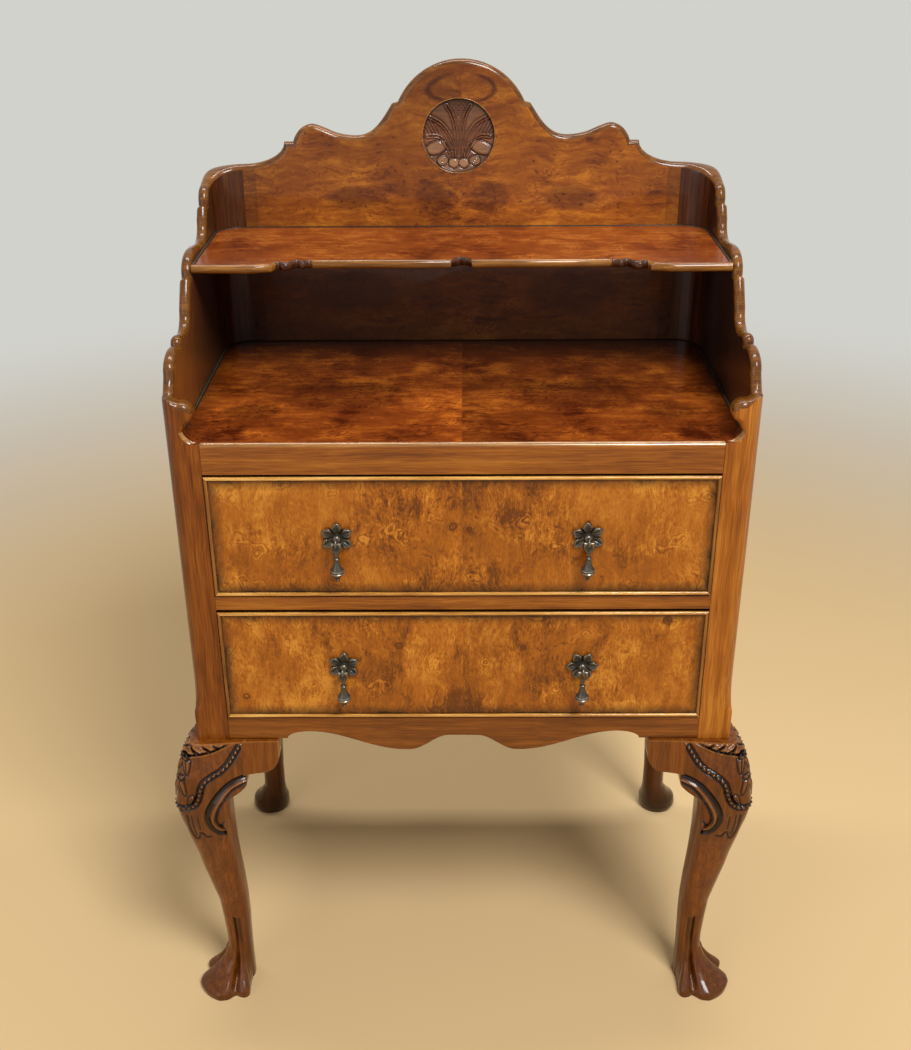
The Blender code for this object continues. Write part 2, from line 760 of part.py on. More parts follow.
def leg_section(u, v, half, radius):
    """A rounded square about (u, v), whose corner 225 degrees round is the outer corner of the leg."""
    points = []
    for i, degrees in enumerate(leg_turns()):
        su, sv = ((-1, -1), (1, -1), (1, 1), (-1, 1))[i // 7]
        turn = math.radians(degrees)
        points.append(
            (
                u + su * (half - radius) + radius * math.cos(turn),
                v + sv * (half - radius) + radius * math.sin(turn),
            )
        )
    return points


def toe_section(spread):
    """The three-toed foot round the ankle: the middle toe points out of the corner, spread runs to 1."""
    points = []
    for degrees in leg_turns():
        off_corner = (degrees - 225 + 180) % 360 - 180
        toes = math.cos(math.radians(off_corner * 360 / TOE_ANGLE)) if abs(off_corner) < 85 else 0.0
        heel = 0.5 - 0.5 * math.cos(math.radians(max(0.0, abs(off_corner) - 50) * 180 / 130))
        reach = TOE_REACH - (TOE_REACH - HEEL_REACH) * heel + TOE_RELIEF * toes
        reach = ANKLE_R + spread * (reach - ANKLE_R)
        turn = math.radians(degrees)
        points.append((ANKLE_IN + reach * math.cos(turn), ANKLE_IN + reach * math.sin(turn)))
    return points


def leg_rings(feet, stations):
    """Rings up a leg: its foot, its section at each station, its flat top and the spigot above it."""
    rings = [[(u, v, height) for u, v in section] for height, section in feet]
    for height, section in stations:
        rings.append([(u, v, height) for u, v in leg_section(*section)])
    top = LEG_H - GAP
    spigot = leg_section(SPIGOT_IN, SPIGOT_IN, SPIGOT_R, SPIGOT_R)
    rings.append([(u, v, top) for u, v in spigot])
    rings.append([(u, v, top + SPIGOT_H) for u, v in spigot])
    return rings


def leg_station(height, out, inside, radius):
    """A section from how far it stands out of the carcass and how far in its inner face is."""
    return (height, ((inside - out) / 2, (inside - out) / 2, (inside + out) / 2, radius))


def front_leg_rings():
    feet = [
        (height, toe_section(spread))
        for height, spread in ((0, 0.94), (0.007, 1.0), (0.015, 0.90), (0.022, 0.62), (0.030, 0.28))
    ]
    ankle = [(0.041, -0.0036, 0.0284, 0.0115), (0.058, -0.0037, 0.0286, 0.0112)]
    stations = [leg_station(*section) for section in ankle]
    shank = [
        (0.20, -0.0012, 0.0292, 0.0120),
        (0.40, 0.0020, 0.0290, 0.0130),
        (0.62, 0.0085, 0.0280, 0.0140),
        (0.84, 0.0142, 0.0265, 0.0145),
    ]
    knee = [
        (0.131, 0.0170, 0.0254, 0.0150),
        (0.110, 0.0215, 0.0245, 0.0150),
        (0.082, 0.0260, 0.0240, 0.0150),
        (0.072, 0.0270, 0.0275, 0.0150),
        (0.062, 0.0275, 0.0380, 0.0140),
        (0.052, 0.0268, LEG_BLOCK - 0.002, 0.0130),
        (0.042, 0.0255, LEG_BLOCK, 0.0110),
        (0.030, 0.0225, LEG_BLOCK, 0.0100),
        (0.015, 0.0160, LEG_BLOCK, 0.0090),
        (0.006, 0.0100, LEG_BLOCK, 0.0080),
        (GAP, 0.0030, LEG_BLOCK, 0.0050),
    ]
    low, high = ankle[-1][0], LEG_H - knee[0][0]
    stations += [leg_station(low + share * (high - low), *rest) for share, *rest in shank]
    stations += [leg_station(LEG_H - down, *rest) for down, *rest in knee]
    return leg_rings(feet, stations)


def back_leg_rings():
    """A plain back leg, whose pad foot turns outwards and back."""
    foot = [
        (0.000, 0.0085, -0.0060, 0.0195, 0.0190),
        (0.006, 0.0085, -0.0060, 0.0222, 0.0220),
        (0.016, 0.0095, -0.0040, 0.0215, 0.0210),
        (0.026, 0.0130, 0.0010, 0.0165, 0.0160),
        (0.040, 0.0165, 0.0050, 0.0125, 0.0118),
        (0.070, 0.0170, 0.0070, 0.0122, 0.0114),
    ]
    block = LEG_BLOCK
    knee = [
        (0.115, 0.0160, 0.0120, 0.0192, 0.0150),
        (0.060, 0.0170, 0.0150, 0.0230, 0.0120),
        (0.038, block - 0.0245, block - 0.0245, 0.0245, 0.0090),
        (0.015, block - 0.0230, block - 0.0230, 0.0230, 0.0070),
    ]
    stations = [(z, (u, v, half, radius)) for z, u, v, half, radius in foot]
    middle = (foot[-1][0] + LEG_H - knee[0][0]) / 2
    stations.append((middle, (0.0160, 0.0090, 0.0155, 0.0135)))
    stations += [(LEG_H - down, (u, v, half, radius)) for down, u, v, half, radius in knee]
    stations.append((LEG_H - GAP, (block / 2, block / 2, block / 2, 0.005)))
    return leg_rings([], stations)


def ear_outline():
    """An ear seen square on: (distance from the leg block, drop below the carcass)."""
    outline = [(GAP, GAP), (EAR_L, GAP), (EAR_L, EAR_TIP_H)]
    outline += quarter(outline[-1], (0.45 * EAR_L, EAR_H), False)
    outline.append((GAP, EAR_H))
    return outline


def ear(name, place, along_side):
    """An ear glued beside a knee, under the bottom rail or, along_side, under a side panel."""
    rings = []
    for depth in (0.0, 1.0):
        ring = []
        for out, down in ear_outline():
            swell = EAR_SWELL * (1 - out / EAR_L) if depth == 0 else 0.0
            across = depth * EAR_T - EAR_PROUD - swell
            u, v = LEG_BLOCK + out, across
            if along_side:
                u, v = v, u
            ring.append(place(u, v, LEG_H - down))
        rings.append(ring)
    return loft(name, rings, LEG_WALNUT, smooth=False)


def legs():
    for corner, place in corners().items():
        rings = front_leg_rings() if corner.startswith("front") else back_leg_rings()
        rings = [[place(*point) for point in ring] for ring in rings]
        end, side = corner.split("_")
        loft(end + "_leg_" + side, rings, LEG_WALNUT)
        ear(end + "_leg_side_ear_" + side, place, True)
        if end == "front":
            ear(end + "_leg_front_ear_" + side, place, False)


def settle_under_origin():
    """Slides the whole object so that the origin is under the middle of its depth."""
    bpy.context.view_layer.update()
    graph = bpy.context.evaluated_depsgraph_get()
    depths = []
    for obj in PARTS.objects:
        if obj.type == "MESH":
            evaluated = obj.evaluated_get(graph)
            depths += [(evaluated.matrix_world @ vertex.co).y for vertex in evaluated.data.vertices]
    shift = -(min(depths) + max(depths)) / 2
    everything = bpy.data.objects.new("nightstand_base", None)
    PARTS.objects.link(everything)
    for obj in list(PARTS.objects) + list(CUTTERS.objects):
        if obj.parent is None and obj is not everything:
            obj.parent = everything
    everything.location.y = shift
    print(f"front faces at y = {shift:.5f} m, top board at z = {TOP_Z:.5f} m")


rails_and_stiles()
panels()
top_and_shelf()
inside()
drawer("lower_drawer", BOTTOM_RAIL_TOP, DIVIDER_Z)
drawer("upper_drawer", DIVIDER_TOP, TOP_RAIL_Z)
legs()
settle_under_origin()
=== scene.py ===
# %% [markdown]
# # A walnut bedside chest
# The real object is a small bedside chest in the early-Georgian taste: burr walnut drawers, a stepped gallery with a
# shelf, carved cabriole legs and bronzed drop handles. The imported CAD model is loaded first, as a fixed frame in
# metres. Every piece made below is set against it, so nothing has to be fitted by eye.

# %% Load the frame
import math
import bpy
import numpy as np
from mathutils import Matrix, Vector


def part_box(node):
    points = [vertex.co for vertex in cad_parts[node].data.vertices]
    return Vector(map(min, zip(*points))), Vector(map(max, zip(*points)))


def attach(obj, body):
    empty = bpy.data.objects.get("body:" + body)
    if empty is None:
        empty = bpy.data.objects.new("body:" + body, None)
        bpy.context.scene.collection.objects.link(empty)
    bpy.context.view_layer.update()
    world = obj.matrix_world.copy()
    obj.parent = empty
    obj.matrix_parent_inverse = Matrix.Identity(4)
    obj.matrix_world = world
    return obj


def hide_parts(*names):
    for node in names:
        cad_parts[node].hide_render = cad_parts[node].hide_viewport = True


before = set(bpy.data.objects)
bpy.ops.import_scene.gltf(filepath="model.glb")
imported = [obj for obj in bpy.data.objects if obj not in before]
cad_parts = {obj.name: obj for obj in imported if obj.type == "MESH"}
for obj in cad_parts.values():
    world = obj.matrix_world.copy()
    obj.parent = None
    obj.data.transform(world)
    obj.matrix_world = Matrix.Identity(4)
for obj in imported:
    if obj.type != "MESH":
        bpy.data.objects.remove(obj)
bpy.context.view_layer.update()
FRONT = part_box("top_rail")[0][1]                    # the plane of the rails' front faces
TOP_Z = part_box("top_board")[1][2]                   # the upper face of the top board
LEG_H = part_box("base_board")[0][2]
HALF_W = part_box("front_stile_right")[1][0]
print("front plane", round(FRONT, 4), "top", round(TOP_Z, 4), "leg", round(LEG_H, 4), "half width", HALF_W)

# %% [markdown]
# ## Camera
# The photograph looks down on the chest from standing height. Its angles were found by fitting a camera to the
# corners of the drawers, rails and shelf. A camera object takes them as the three columns of its matrix: right, up
# and back. The lens is the fitted focal length in pixels, turned into millimetres on a 36 mm wide sensor.

# %% Camera
FRAME_W, FOCAL = 911, 1258.28
YAW, PITCH, ROLL = 0.0079, 0.4650, 0.0066
ahead = Vector((-math.sin(YAW), math.cos(YAW), 0))
right = Vector((math.cos(YAW), math.sin(YAW), 0))
down = Vector((0, 0, -1))
look = math.cos(PITCH) * ahead + math.sin(PITCH) * down
sink = -math.sin(PITCH) * ahead + math.cos(PITCH) * down
side = math.cos(ROLL) * right + math.sin(ROLL) * sink
drop = -math.sin(ROLL) * right + math.cos(ROLL) * sink
bpy.ops.object.camera_add()
camera = bpy.context.object
camera.name = "camera"
turned = Matrix((side, -drop, -look)).transposed().to_4x4()
camera.matrix_world = Matrix.Translation((0.0018, FRONT - 0.9681, 1.0233)) @ turned
camera.data.sensor_fit, camera.data.sensor_width = "HORIZONTAL", 36
camera.data.lens = FOCAL / FRAME_W * camera.data.sensor_width
bpy.context.scene.camera = camera
bpy.context.scene.view_settings.view_transform = "Standard"
print("camera lens", round(camera.data.lens, 2), "mm")

# %% [markdown]
# ## One way to write a colour, one way to add a node
# Colours are written as they are seen on a screen, in hex. A shader wants them linear, so one function turns them.
# Another adds a node, sets it up and links it in one line, which keeps each material readable from top to bottom.

# %% Colour and node helpers
def tone(hex_code):
    """A screen colour such as 8A3F12 as the linear colour that a shader socket takes."""
    seen = [int(hex_code[k:k + 2], 16) / 255 for k in (0, 2, 4)]
    return tuple(c / 12.92 if c <= 0.04045 else ((c + 0.055) / 1.055) ** 2.4 for c in seen) + (1.0,)


def feed(tree, node, inputs):
    """Give each input of a node a value, a socket, or the first live output of another node."""
    for socket, value in inputs.items():
        if isinstance(value, bpy.types.Node):
            value = next(output for output in value.outputs if output.enabled)
        if isinstance(value, bpy.types.NodeSocket):
            tree.links.new(value, node.inputs[socket])
        else:
            node.inputs[socket].default_value = value


def add(tree, kind, inputs=None, **settings):
    """Add a node, set its properties and feed its inputs."""
    made = tree.nodes.new("ShaderNode" + kind)
    for name, value in settings.items():
        setattr(made, name, value)
    feed(tree, made, inputs or {})
    return made


def finish(name):
    """An empty material with its surface shader, ready for nodes."""
    made = bpy.data.materials.new(name)
    made.use_nodes = True
    return made, made.node_tree, made.node_tree.nodes["Principled BSDF"]


PER_MM = 1000.0                                     # pattern scales are worked out from sizes in millimetres

# %% [markdown]
# ## Floor and light
# The floor is a plain pale sheet. Further off, what the eye sees of it fades into a pale background that the world
# shows too, and this adds no light to the chest. One large soft lamp hangs in front and to the right, as the
# highlights on the handles and knees show, a weaker one fills from the left, and a long one above draws a line of
# light along the rolled edges. The world lifts the shadows. Together they are strong enough that a colour renders
# about as it is written.

# %% Floor
BACKGROUND = "D2D2CC"


def seen_directly(tree):
    """1 for rays from the eye, straight or by way of a shine, and 0 for light that falls on other things."""
    rays = add(tree, "LightPath").outputs
    eye = add(tree, "Math", {0: rays["Is Camera Ray"], 1: rays["Is Glossy Ray"]}, operation="MAXIMUM")
    return add(tree, "Math", {0: eye, 1: rays["Is Transmission Ray"]}, operation="MAXIMUM")


bpy.ops.object.select_all(action="DESELECT")
bpy.ops.mesh.primitive_plane_add(size=60)
floor = bpy.context.object
floor.name = "floor"
floor_paint, tree, surface = finish("pale_floor_paint")
feed(tree, surface, {"Base Color": tone("DDBE8C"), "Roughness": 0.9})
FADE_FROM, FADE_TO = 0.75, 2.4                      # metres from the middle of the floor
# further off, what the eye sees turns into the plain pale background, without adding light to the chest
seen = seen_directly(tree)
far = add(tree, "VectorMath", {0: add(tree, "TexCoord").outputs["Object"]}, operation="LENGTH")
fade = add(tree, "MapRange", {"Value": far, "From Min": FADE_FROM, "From Max": FADE_TO},
           interpolation_type="SMOOTHSTEP")
fade = add(tree, "Math", {0: fade, 1: seen}, operation="MULTIPLY")
pale = add(tree, "Emission", {"Color": tone(BACKGROUND), "Strength": 1.0})
blend = add(tree, "MixShader", {0: fade, 1: surface, 2: pale})
feed(tree, tree.nodes["Material Output"], {"Surface": blend})
floor.data.materials.append(floor_paint)
print("floor fades out between", FADE_FROM, "and", FADE_TO, "m")

# %% Lamps and world
for name, place, aim, wide, deep, watts in (("key_lamp", (0.75, -1.45, 2.55), (0, 0, 0.45), 0.9, 0.9, 66),
                                            ("fill_lamp", (-1.5, -1.9, 1.2), (0, 0, 0.4), 1.5, 1.5, 8),
                                            ("top_lamp", (0.0, 0.30, 2.5), (0, 0, 0.4), 1.7, 0.25, 24)):
    bpy.ops.object.light_add(type="AREA", location=place)
    lamp = bpy.context.object
    lamp.name = name
    lamp.data.shape, lamp.data.energy = "RECTANGLE", watts
    lamp.data.size, lamp.data.size_y = wide, deep
    lamp.rotation_euler = (Vector(aim) - Vector(place)).to_track_quat("-Z", "Y").to_euler()
world = bpy.data.worlds.new("pale_room")
world.use_nodes = True
tree = world.node_tree
room = add(tree, "Background", {"Color": tone("EADFCB"), "Strength": 0.22})
pale = add(tree, "Background", {"Color": tone(BACKGROUND), "Strength": 1.0})
blend = add(tree, "MixShader", {0: seen_directly(tree), 1: room, 2: pale})
feed(tree, tree.nodes["World Output"], {"Surface": blend})
bpy.context.scene.world = world
print("3 lamps and a pale world")

# %% [markdown]
# ## Burr walnut veneer
# The drawer fronts, top, shelf and gallery are veneered in burr walnut: leaves cut from a burr and opened like a
# book, so that the figure mirrors about the middle of the chest. Its look is clouds of light and dark wood, fine
# wild grain that swirls round small ringed eyes, and a deep French polish over it all. The mirror is easy: the
# pattern reads |x| in place of x. The swirl comes from bending the coordinates with one noise before the other
# noises read them.

# %% Burr walnut
def burr_walnut(name, dark, middle, light, eye, streak_run, figure, clusters=0.2, right_shade=1.0, gloss=0.24,
                crescent=None, shaded_ends=None, eyes=0.0, knots=(), light_falloff=None, niche=None, joint=0.0):
    """Book-matched burr walnut under French polish.

    streak_run squeezes the fine figure along its own direction. figure weighs mottle, streaks, fibre, swirling rings
    and broad plumes. clusters says how much the clouds darken. crescent is the height of one large oval eye on the
    joint, and knots are dark crowded ovals (place and 1/radius). shaded_ends is where the veneer meets the corner
    blocks, towards which it is painted in shade. light_falloff is a span of heights over which painted light low down
    gives way to painted shade above, niche the height below which a painted shadow lies, and joint how much lighter
    the left leaf is painted than the right one close to the joint, as the two leaves take the light differently."""
    made, tree, surface = finish(name)
    here = add(tree, "TexCoord").outputs["Object"]
    split = add(tree, "SeparateXYZ", {0: here})
    folded = add(tree, "Math", {0: split}, operation="ABSOLUTE")
    leaf = add(tree, "CombineXYZ", {0: folded, 1: split.outputs[1], 2: split.outputs[2]})
    # the next leaf of the same burr is not quite the same: fine figure differs on the right, broad clouds do not
    on_right = add(tree, "Math", {0: split, 1: 0.0}, operation="GREATER_THAN")
    slip = add(tree, "VectorMath", {0: (0.002, 0.006, 0.003), "Scale": on_right}, operation="SCALE")
    slipped = add(tree, "VectorMath", {0: leaf, 1: slip}, operation="ADD")
    bend = add(tree, "TexNoise", {"Vector": slipped, "Scale": PER_MM / 42, "Detail": 3.0})
    centred = add(tree, "VectorMath", {0: bend.outputs["Color"], 1: (0.5, 0.5, 0.5)}, operation="SUBTRACT")
    pushed = add(tree, "VectorMath", {0: centred, "Scale": 0.040}, operation="SCALE")
    wild = add(tree, "VectorMath", {0: slipped, 1: pushed}, operation="ADD")
    # clouds about 80 mm across, plumes 40 mm, mottle 22 mm, flame streaks 6 mm, fibre 1 mm
    cloud = add(tree, "TexNoise", {"Vector": leaf, "Scale": PER_MM / 80, "Detail": 3.0})
    patch = add(tree, "MapRange", {"Value": cloud, "From Min": 0.47, "From Max": 0.62},
                interpolation_type="SMOOTHSTEP")
    mottle = add(tree, "TexNoise", {"Vector": wild, "Scale": PER_MM / 22, "Detail": 4.0, "Roughness": 0.6})
    swept = add(tree, "VectorMath", {0: centred, "Scale": 0.020}, operation="SCALE")
    swept = add(tree, "VectorMath", {0: slipped, 1: swept}, operation="ADD")
    run = add(tree, "VectorMath", {0: swept, 1: streak_run}, operation="MULTIPLY")
    streak = add(tree, "TexNoise", {"Vector": run, "Scale": PER_MM / 6, "Detail": 5.0, "Roughness": 0.66})
    fibre = add(tree, "TexNoise", {"Vector": run, "Scale": PER_MM / 1.1, "Detail": 2.0})
    # freckles about 3 mm across crowd together in the clouds
    freckle = add(tree, "TexVoronoi", {"Vector": wild, "Scale": PER_MM / 7})
    dot = add(tree, "MapRange", {"Value": freckle, "From Min": 0.08, "From Max": 0.34, "To Min": 0.8,
              "To Max": 0.0}, interpolation_type="SMOOTHSTEP")
    some = add(tree, "MapRange", {"Value": freckle.outputs["Color"], "From Min": 0.40, "From Max": 0.65})
    crowd = add(tree, "MapRange", {"Value": patch, "To Min": 0.10, "To Max": 1.0})
    dots = add(tree, "Math", {0: dot, 1: some}, operation="MULTIPLY")
    marks = add(tree, "Math", {0: dots, 1: crowd}, operation="MULTIPLY")
    # the grain swirls round every bud like the lines on a map, close and ringed at the eyes
    nudge = add(tree, "VectorMath", {0: centred, "Scale": 0.008}, operation="SCALE")
    nudged = add(tree, "VectorMath", {0: slipped, 1: nudge}, operation="ADD")
    land = add(tree, "TexNoise", {"Vector": nudged, "Scale": PER_MM / 22, "Detail": 1.6})
    swirl = add(tree, "Math", {0: land, 1: 85.0}, operation="MULTIPLY")
    swirl = add(tree, "Math", {0: swirl}, operation="SINE")
    peak = add(tree, "MapRange", {"Value": land, "From Min": 0.60, "From Max": 0.68, "To Min": 0.45,
               "To Max": 2.4}, interpolation_type="SMOOTHSTEP")
    swirl = add(tree, "Math", {0: swirl, 1: peak}, operation="MULTIPLY")

    def oval(place, spread):
        """Distance from the middle of a wavering oval, 1 on its rim."""
        off = add(tree, "VectorMath", {0: leaf, 1: place}, operation="SUBTRACT")
        off = add(tree, "VectorMath", {0: off, 1: spread}, operation="MULTIPLY")
        off = add(tree, "VectorMath", {0: centred, 1: off}, operation="ADD")
        return add(tree, "VectorMath", {0: off}, operation="LENGTH")

    for place, spread in knots:
        inside = add(tree, "MapRange", {"Value": oval(place, spread), "From Min": 0.65, "From Max": 1.1,
                     "To Min": 1.0, "To Max": 0.0}, interpolation_type="SMOOTHSTEP")
        crowded = add(tree, "Math", {0: dot, 1: 0.5, 2: 0.52}, operation="MULTIPLY_ADD")
        knot = add(tree, "Math", {0: crowded, 1: inside}, operation="MULTIPLY")
        marks = add(tree, "Math", {0: marks, 1: knot}, operation="MAXIMUM")
    if crescent:
        far = oval((0, 0, crescent), (1 / 0.028, 0, 1 / 0.0125))
        off = add(tree, "Math", {0: far, 1: 1.0}, operation="SUBTRACT")
        off = add(tree, "Math", {0: off}, operation="ABSOLUTE")
        rim = add(tree, "MapRange", {"Value": off, "From Min": 0.02, "From Max": 0.20, "To Min": 0.8,
                  "To Max": 0.0}, interpolation_type="SMOOTHSTEP")
        flank = add(tree, "MapRange", {"Value": folded, "From Min": 0.006, "From Max": 0.020})
        rim = add(tree, "Math", {0: rim, 1: flank}, operation="MULTIPLY")
        marks = add(tree, "Math", {0: marks, 1: rim}, operation="MAXIMUM")
    # one number for how light the wood is
    shade = add(tree, "Math", {0: mottle, 1: figure[0], 2: 0.5 - sum(figure[:3]) / 2 + clusters / 3},
                operation="MULTIPLY_ADD")
    shade = add(tree, "Math", {0: streak, 1: figure[1], 2: shade}, operation="MULTIPLY_ADD")
    shade = add(tree, "Math", {0: fibre, 1: figure[2], 2: shade}, operation="MULTIPLY_ADD")
    shade = add(tree, "Math", {0: patch, 1: -clusters, 2: shade}, operation="MULTIPLY_ADD")
    shade = add(tree, "Math", {0: swirl, 1: figure[3], 2: shade}, operation="MULTIPLY_ADD")
    plumes = add(tree, "VectorMath", {0: nudged, 1: [0.35 + 0.65 * part for part in streak_run]},
                 operation="MULTIPLY")
    plume = add(tree, "TexNoise", {"Vector": plumes, "Scale": PER_MM / 40, "Detail": 3.0})
    plume = add(tree, "Math", {0: plume, 1: 0.5}, operation="SUBTRACT")
    shade = add(tree, "Math", {0: plume, 1: figure[4], 2: shade}, operation="MULTIPLY_ADD")
    # a few ringed eyes, 9 mm across, where buds grew: one cell in three of a 45 mm pattern has one
    cell = add(tree, "TexVoronoi", {"Vector": nudged, "Scale": PER_MM / 45})
    grown = add(tree, "MapRange", {"Value": cell.outputs["Color"], "From Min": 0.44, "From Max": 0.54,
                "To Max": eyes})
    near = add(tree, "MapRange", {"Value": cell, "From Min": 0.07, "From Max": 0.15, "To Min": 1.0, "To Max": 0.0},
               interpolation_type="SMOOTHSTEP")
    near = add(tree, "Math", {0: near, 1: grown}, operation="MULTIPLY")
    ring = add(tree, "Math", {0: cell, 1: 125.0}, operation="MULTIPLY")
    ring = add(tree, "Math", {0: ring}, operation="SINE")
    ring = add(tree, "Math", {0: ring, 1: 0.5, 2: -0.6}, operation="MULTIPLY_ADD")
    shade = add(tree, "Math", {0: ring, 1: near, 2: shade}, operation="MULTIPLY_ADD")
    busy = add(tree, "TexNoise", {"Vector": nudged, "Scale": PER_MM / 48, "Detail": 2.0})
    busy = add(tree, "MapRange", {"Value": busy, "From Min": 0.40, "From Max": 0.62, "To Min": 0.6, "To Max": 1.4})
    shade = add(tree, "Math", {0: shade, 1: 0.5}, operation="SUBTRACT")
    level = add(tree, "Math", {0: shade, 1: busy, 2: 0.25}, operation="MULTIPLY_ADD")
    level = add(tree, "MapRange", {"Value": level, "From Min": 0.0, "From Max": 0.5})
    ramp = add(tree, "ValToRGB", {"Fac": level})
    ramp.color_ramp.elements.new(0.5)
    for stop, colour in zip(ramp.color_ramp.elements, (dark, middle, light)):
        stop.color = tone(colour)
    marked = add(tree, "Mix", {0: marks, 6: ramp, 7: tone(eye)}, data_type="RGBA")
    # the right-hand leaf lies the other way up and takes the light differently
    turned = add(tree, "MapRange", {"Value": split, "From Min": -0.0003, "From Max": 0.0003, "To Min": 1.0,
                 "To Max": right_shade})
    # close to the joint the left leaf is painted lighter still and the right one darker, as they take the light
    fade = add(tree, "MapRange", {"Value": folded, "From Max": 0.08, "To Min": 1.0, "To Max": 0.0})
    side = add(tree, "MapRange", {"Value": split, "From Min": -0.0003, "From Max": 0.0003, "To Min": joint,
               "To Max": -joint})
    turned = add(tree, "Math", {0: fade, 1: side, 2: turned}, operation="MULTIPLY_ADD")
    leafed = add(tree, "Mix", {0: 1.0, 6: marked, 7: turned}, data_type="RGBA", blend_type="MULTIPLY")
    # painted shade deepening towards the corner blocks
    if shaded_ends:
        end = add(tree, "MapRange", {"Value": folded, "From Min": shaded_ends - 0.0012, "From Max": shaded_ends,
                  "To Max": 0.45})
        near_end = add(tree, "MapRange", {"Value": folded, "From Min": shaded_ends - 0.035, "From Max": shaded_ends,
                       "To Max": 0.22})
        end = add(tree, "Math", {0: end, 1: near_end}, operation="MAXIMUM")
        leafed = add(tree, "Mix", {0: end, 6: leafed, 7: tone("241006")}, data_type="RGBA")
    # painted light low on the gallery, giving way to painted shade towards the arch
    if light_falloff:
        falloff = add(tree, "MapRange", {"Value": split.outputs[2], "From Min": light_falloff[0], "From Max": light_falloff[1],
                  "To Min": 1.13, "To Max": 0.68})
        leafed = add(tree, "Mix", {0: 1.0, 6: leafed, 7: falloff}, data_type="RGBA", blend_type="MULTIPLY")
    # a painted shadow in the niche below the shelf
    if niche:
        under = add(tree, "MapRange", {"Value": split.outputs[2], "From Min": niche - 0.004, "From Max": niche,
                    "To Min": 0.5, "To Max": 0.0})
        leafed = add(tree, "Mix", {0: under, 6: leafed, 7: tone("2A1C18")}, data_type="RGBA")
    # dirt and painted shade at the edges and corners, painted on the mesh, darken the veneer
    grime_and_shade = add(tree, "Attribute", attribute_name="grime_and_shade")
    held = add(tree, "Math", {0: grime_and_shade.outputs["Fac"], 1: mottle}, operation="MULTIPLY")
    dirt = add(tree, "Math", {0: held, 1: 1.6}, operation="MULTIPLY", use_clamp=True)
    dirty = add(tree, "Mix", {0: dirt, 6: leafed, 7: tone("1E0C04")}, data_type="RGBA")
    rough = add(tree, "MapRange", {"Value": mottle, "To Min": gloss - 0.04, "To Max": gloss + 0.10})
    pores = add(tree, "Bump", {"Strength": 0.06, "Distance": 0.0004, "Height": fibre})
    feed(tree, surface, {"Base Color": dirty, "Roughness": rough, "Normal": pores, "IOR": 1.30,
                         "Coat Weight": 0.3, "Coat Roughness": 0.07})
    return made


# %% [markdown]
# ## Straight-grained walnut
# Rails, stiles, beads and legs are plain walnut, sawn with the grain running along each piece. The eye sees long
# bands about half a centimetre apart and fine dark pores, squeezed hard along the grain. Carved pieces carry two
# painted attributes: one darkens the hollows with dirt and painted shade, and the other lightens the high places,
# where hands and dusters have rubbed the polish thin and where painted highlights lie.

# %% Straight-grained walnut
def straight_grained(name, dark, middle, light, run, gloss=0.27, rubbed_and_lit="B9793A", coat=0.15, calm=0.0, shade_span=None):
    """Straight-grained wood under polish.

    run squeezes the pattern along the grain, calm evens its tones out, and shade_span is a span of depths over which
    a painted shade deepens towards the back."""
    made, tree, surface = finish(name)
    here = add(tree, "TexCoord").outputs["Object"]
    sway = add(tree, "TexNoise", {"Vector": here, "Scale": PER_MM / 90, "Detail": 2.0})
    centred = add(tree, "VectorMath", {0: sway.outputs["Color"], 1: (0.5, 0.5, 0.5)}, operation="SUBTRACT")
    pushed = add(tree, "VectorMath", {0: centred, "Scale": 0.007}, operation="SCALE")
    swayed = add(tree, "VectorMath", {0: here, 1: pushed}, operation="ADD")
    along = add(tree, "VectorMath", {0: swayed, 1: run}, operation="MULTIPLY")
    # bands about 5 mm apart, pores drawn 1 mm wide so that they still show at this distance
    band = add(tree, "TexNoise", {"Vector": along, "Scale": PER_MM / 5, "Detail": 4.0})
    pore = add(tree, "TexNoise", {"Vector": along, "Scale": PER_MM / 1.0, "Detail": 2.0})
    patch = add(tree, "TexNoise", {"Vector": here, "Scale": PER_MM / 60, "Detail": 2.0})
    level = add(tree, "Math", {0: pore, 1: 0.85, 2: band}, operation="MULTIPLY_ADD")
    level = add(tree, "Math", {0: patch, 1: 0.40, 2: level}, operation="MULTIPLY_ADD")
    level = add(tree, "MapRange", {"Value": level, "From Min": 0.82 - calm, "From Max": 1.42 + calm})
    ramp = add(tree, "ValToRGB", {"Fac": level})
    ramp.color_ramp.elements.new(0.5)
    for stop, colour in zip(ramp.color_ramp.elements, (dark, middle, light)):
        stop.color = tone(colour)
    # painted wear and highlights lighten the wood, dirt and painted shade darken it
    worn_and_sheen = add(tree, "Attribute", attribute_name="worn_and_sheen")
    rubbing_and_sheen = add(tree, "Math", {0: worn_and_sheen.outputs["Fac"], 1: patch}, operation="MULTIPLY")
    rubbed_and_lit_wood = add(tree, "Mix", {0: rubbing_and_sheen, 6: ramp, 7: tone(rubbed_and_lit)}, data_type="RGBA")
    grime_and_shade = add(tree, "Attribute", attribute_name="grime_and_shade")
    dirty = add(tree, "Mix", {0: grime_and_shade.outputs["Fac"], 6: rubbed_and_lit_wood, 7: tone("1B0B04")}, data_type="RGBA")
    # painted shade deepening towards the back
    if shade_span:
        depth = add(tree, "SeparateXYZ", {0: here})
        back = add(tree, "MapRange", {"Value": depth.outputs[1], "From Min": shade_span[0], "From Max": shade_span[1],
                   "To Max": 0.8})
        dirty = add(tree, "Mix", {0: back, 6: dirty, 7: tone("1E1410")}, data_type="RGBA")
    rough = add(tree, "MapRange", {"Value": band, "To Min": gloss - 0.04, "To Max": gloss + 0.12})
    pores = add(tree, "Bump", {"Strength": 0.08, "Distance": 0.0004, "Height": pore})
    feed(tree, surface, {"Base Color": dirty, "Roughness": rough, "Normal": pores, "IOR": 1.28,
                         "Coat Weight": coat, "Coat Roughness": 0.06})
    return made


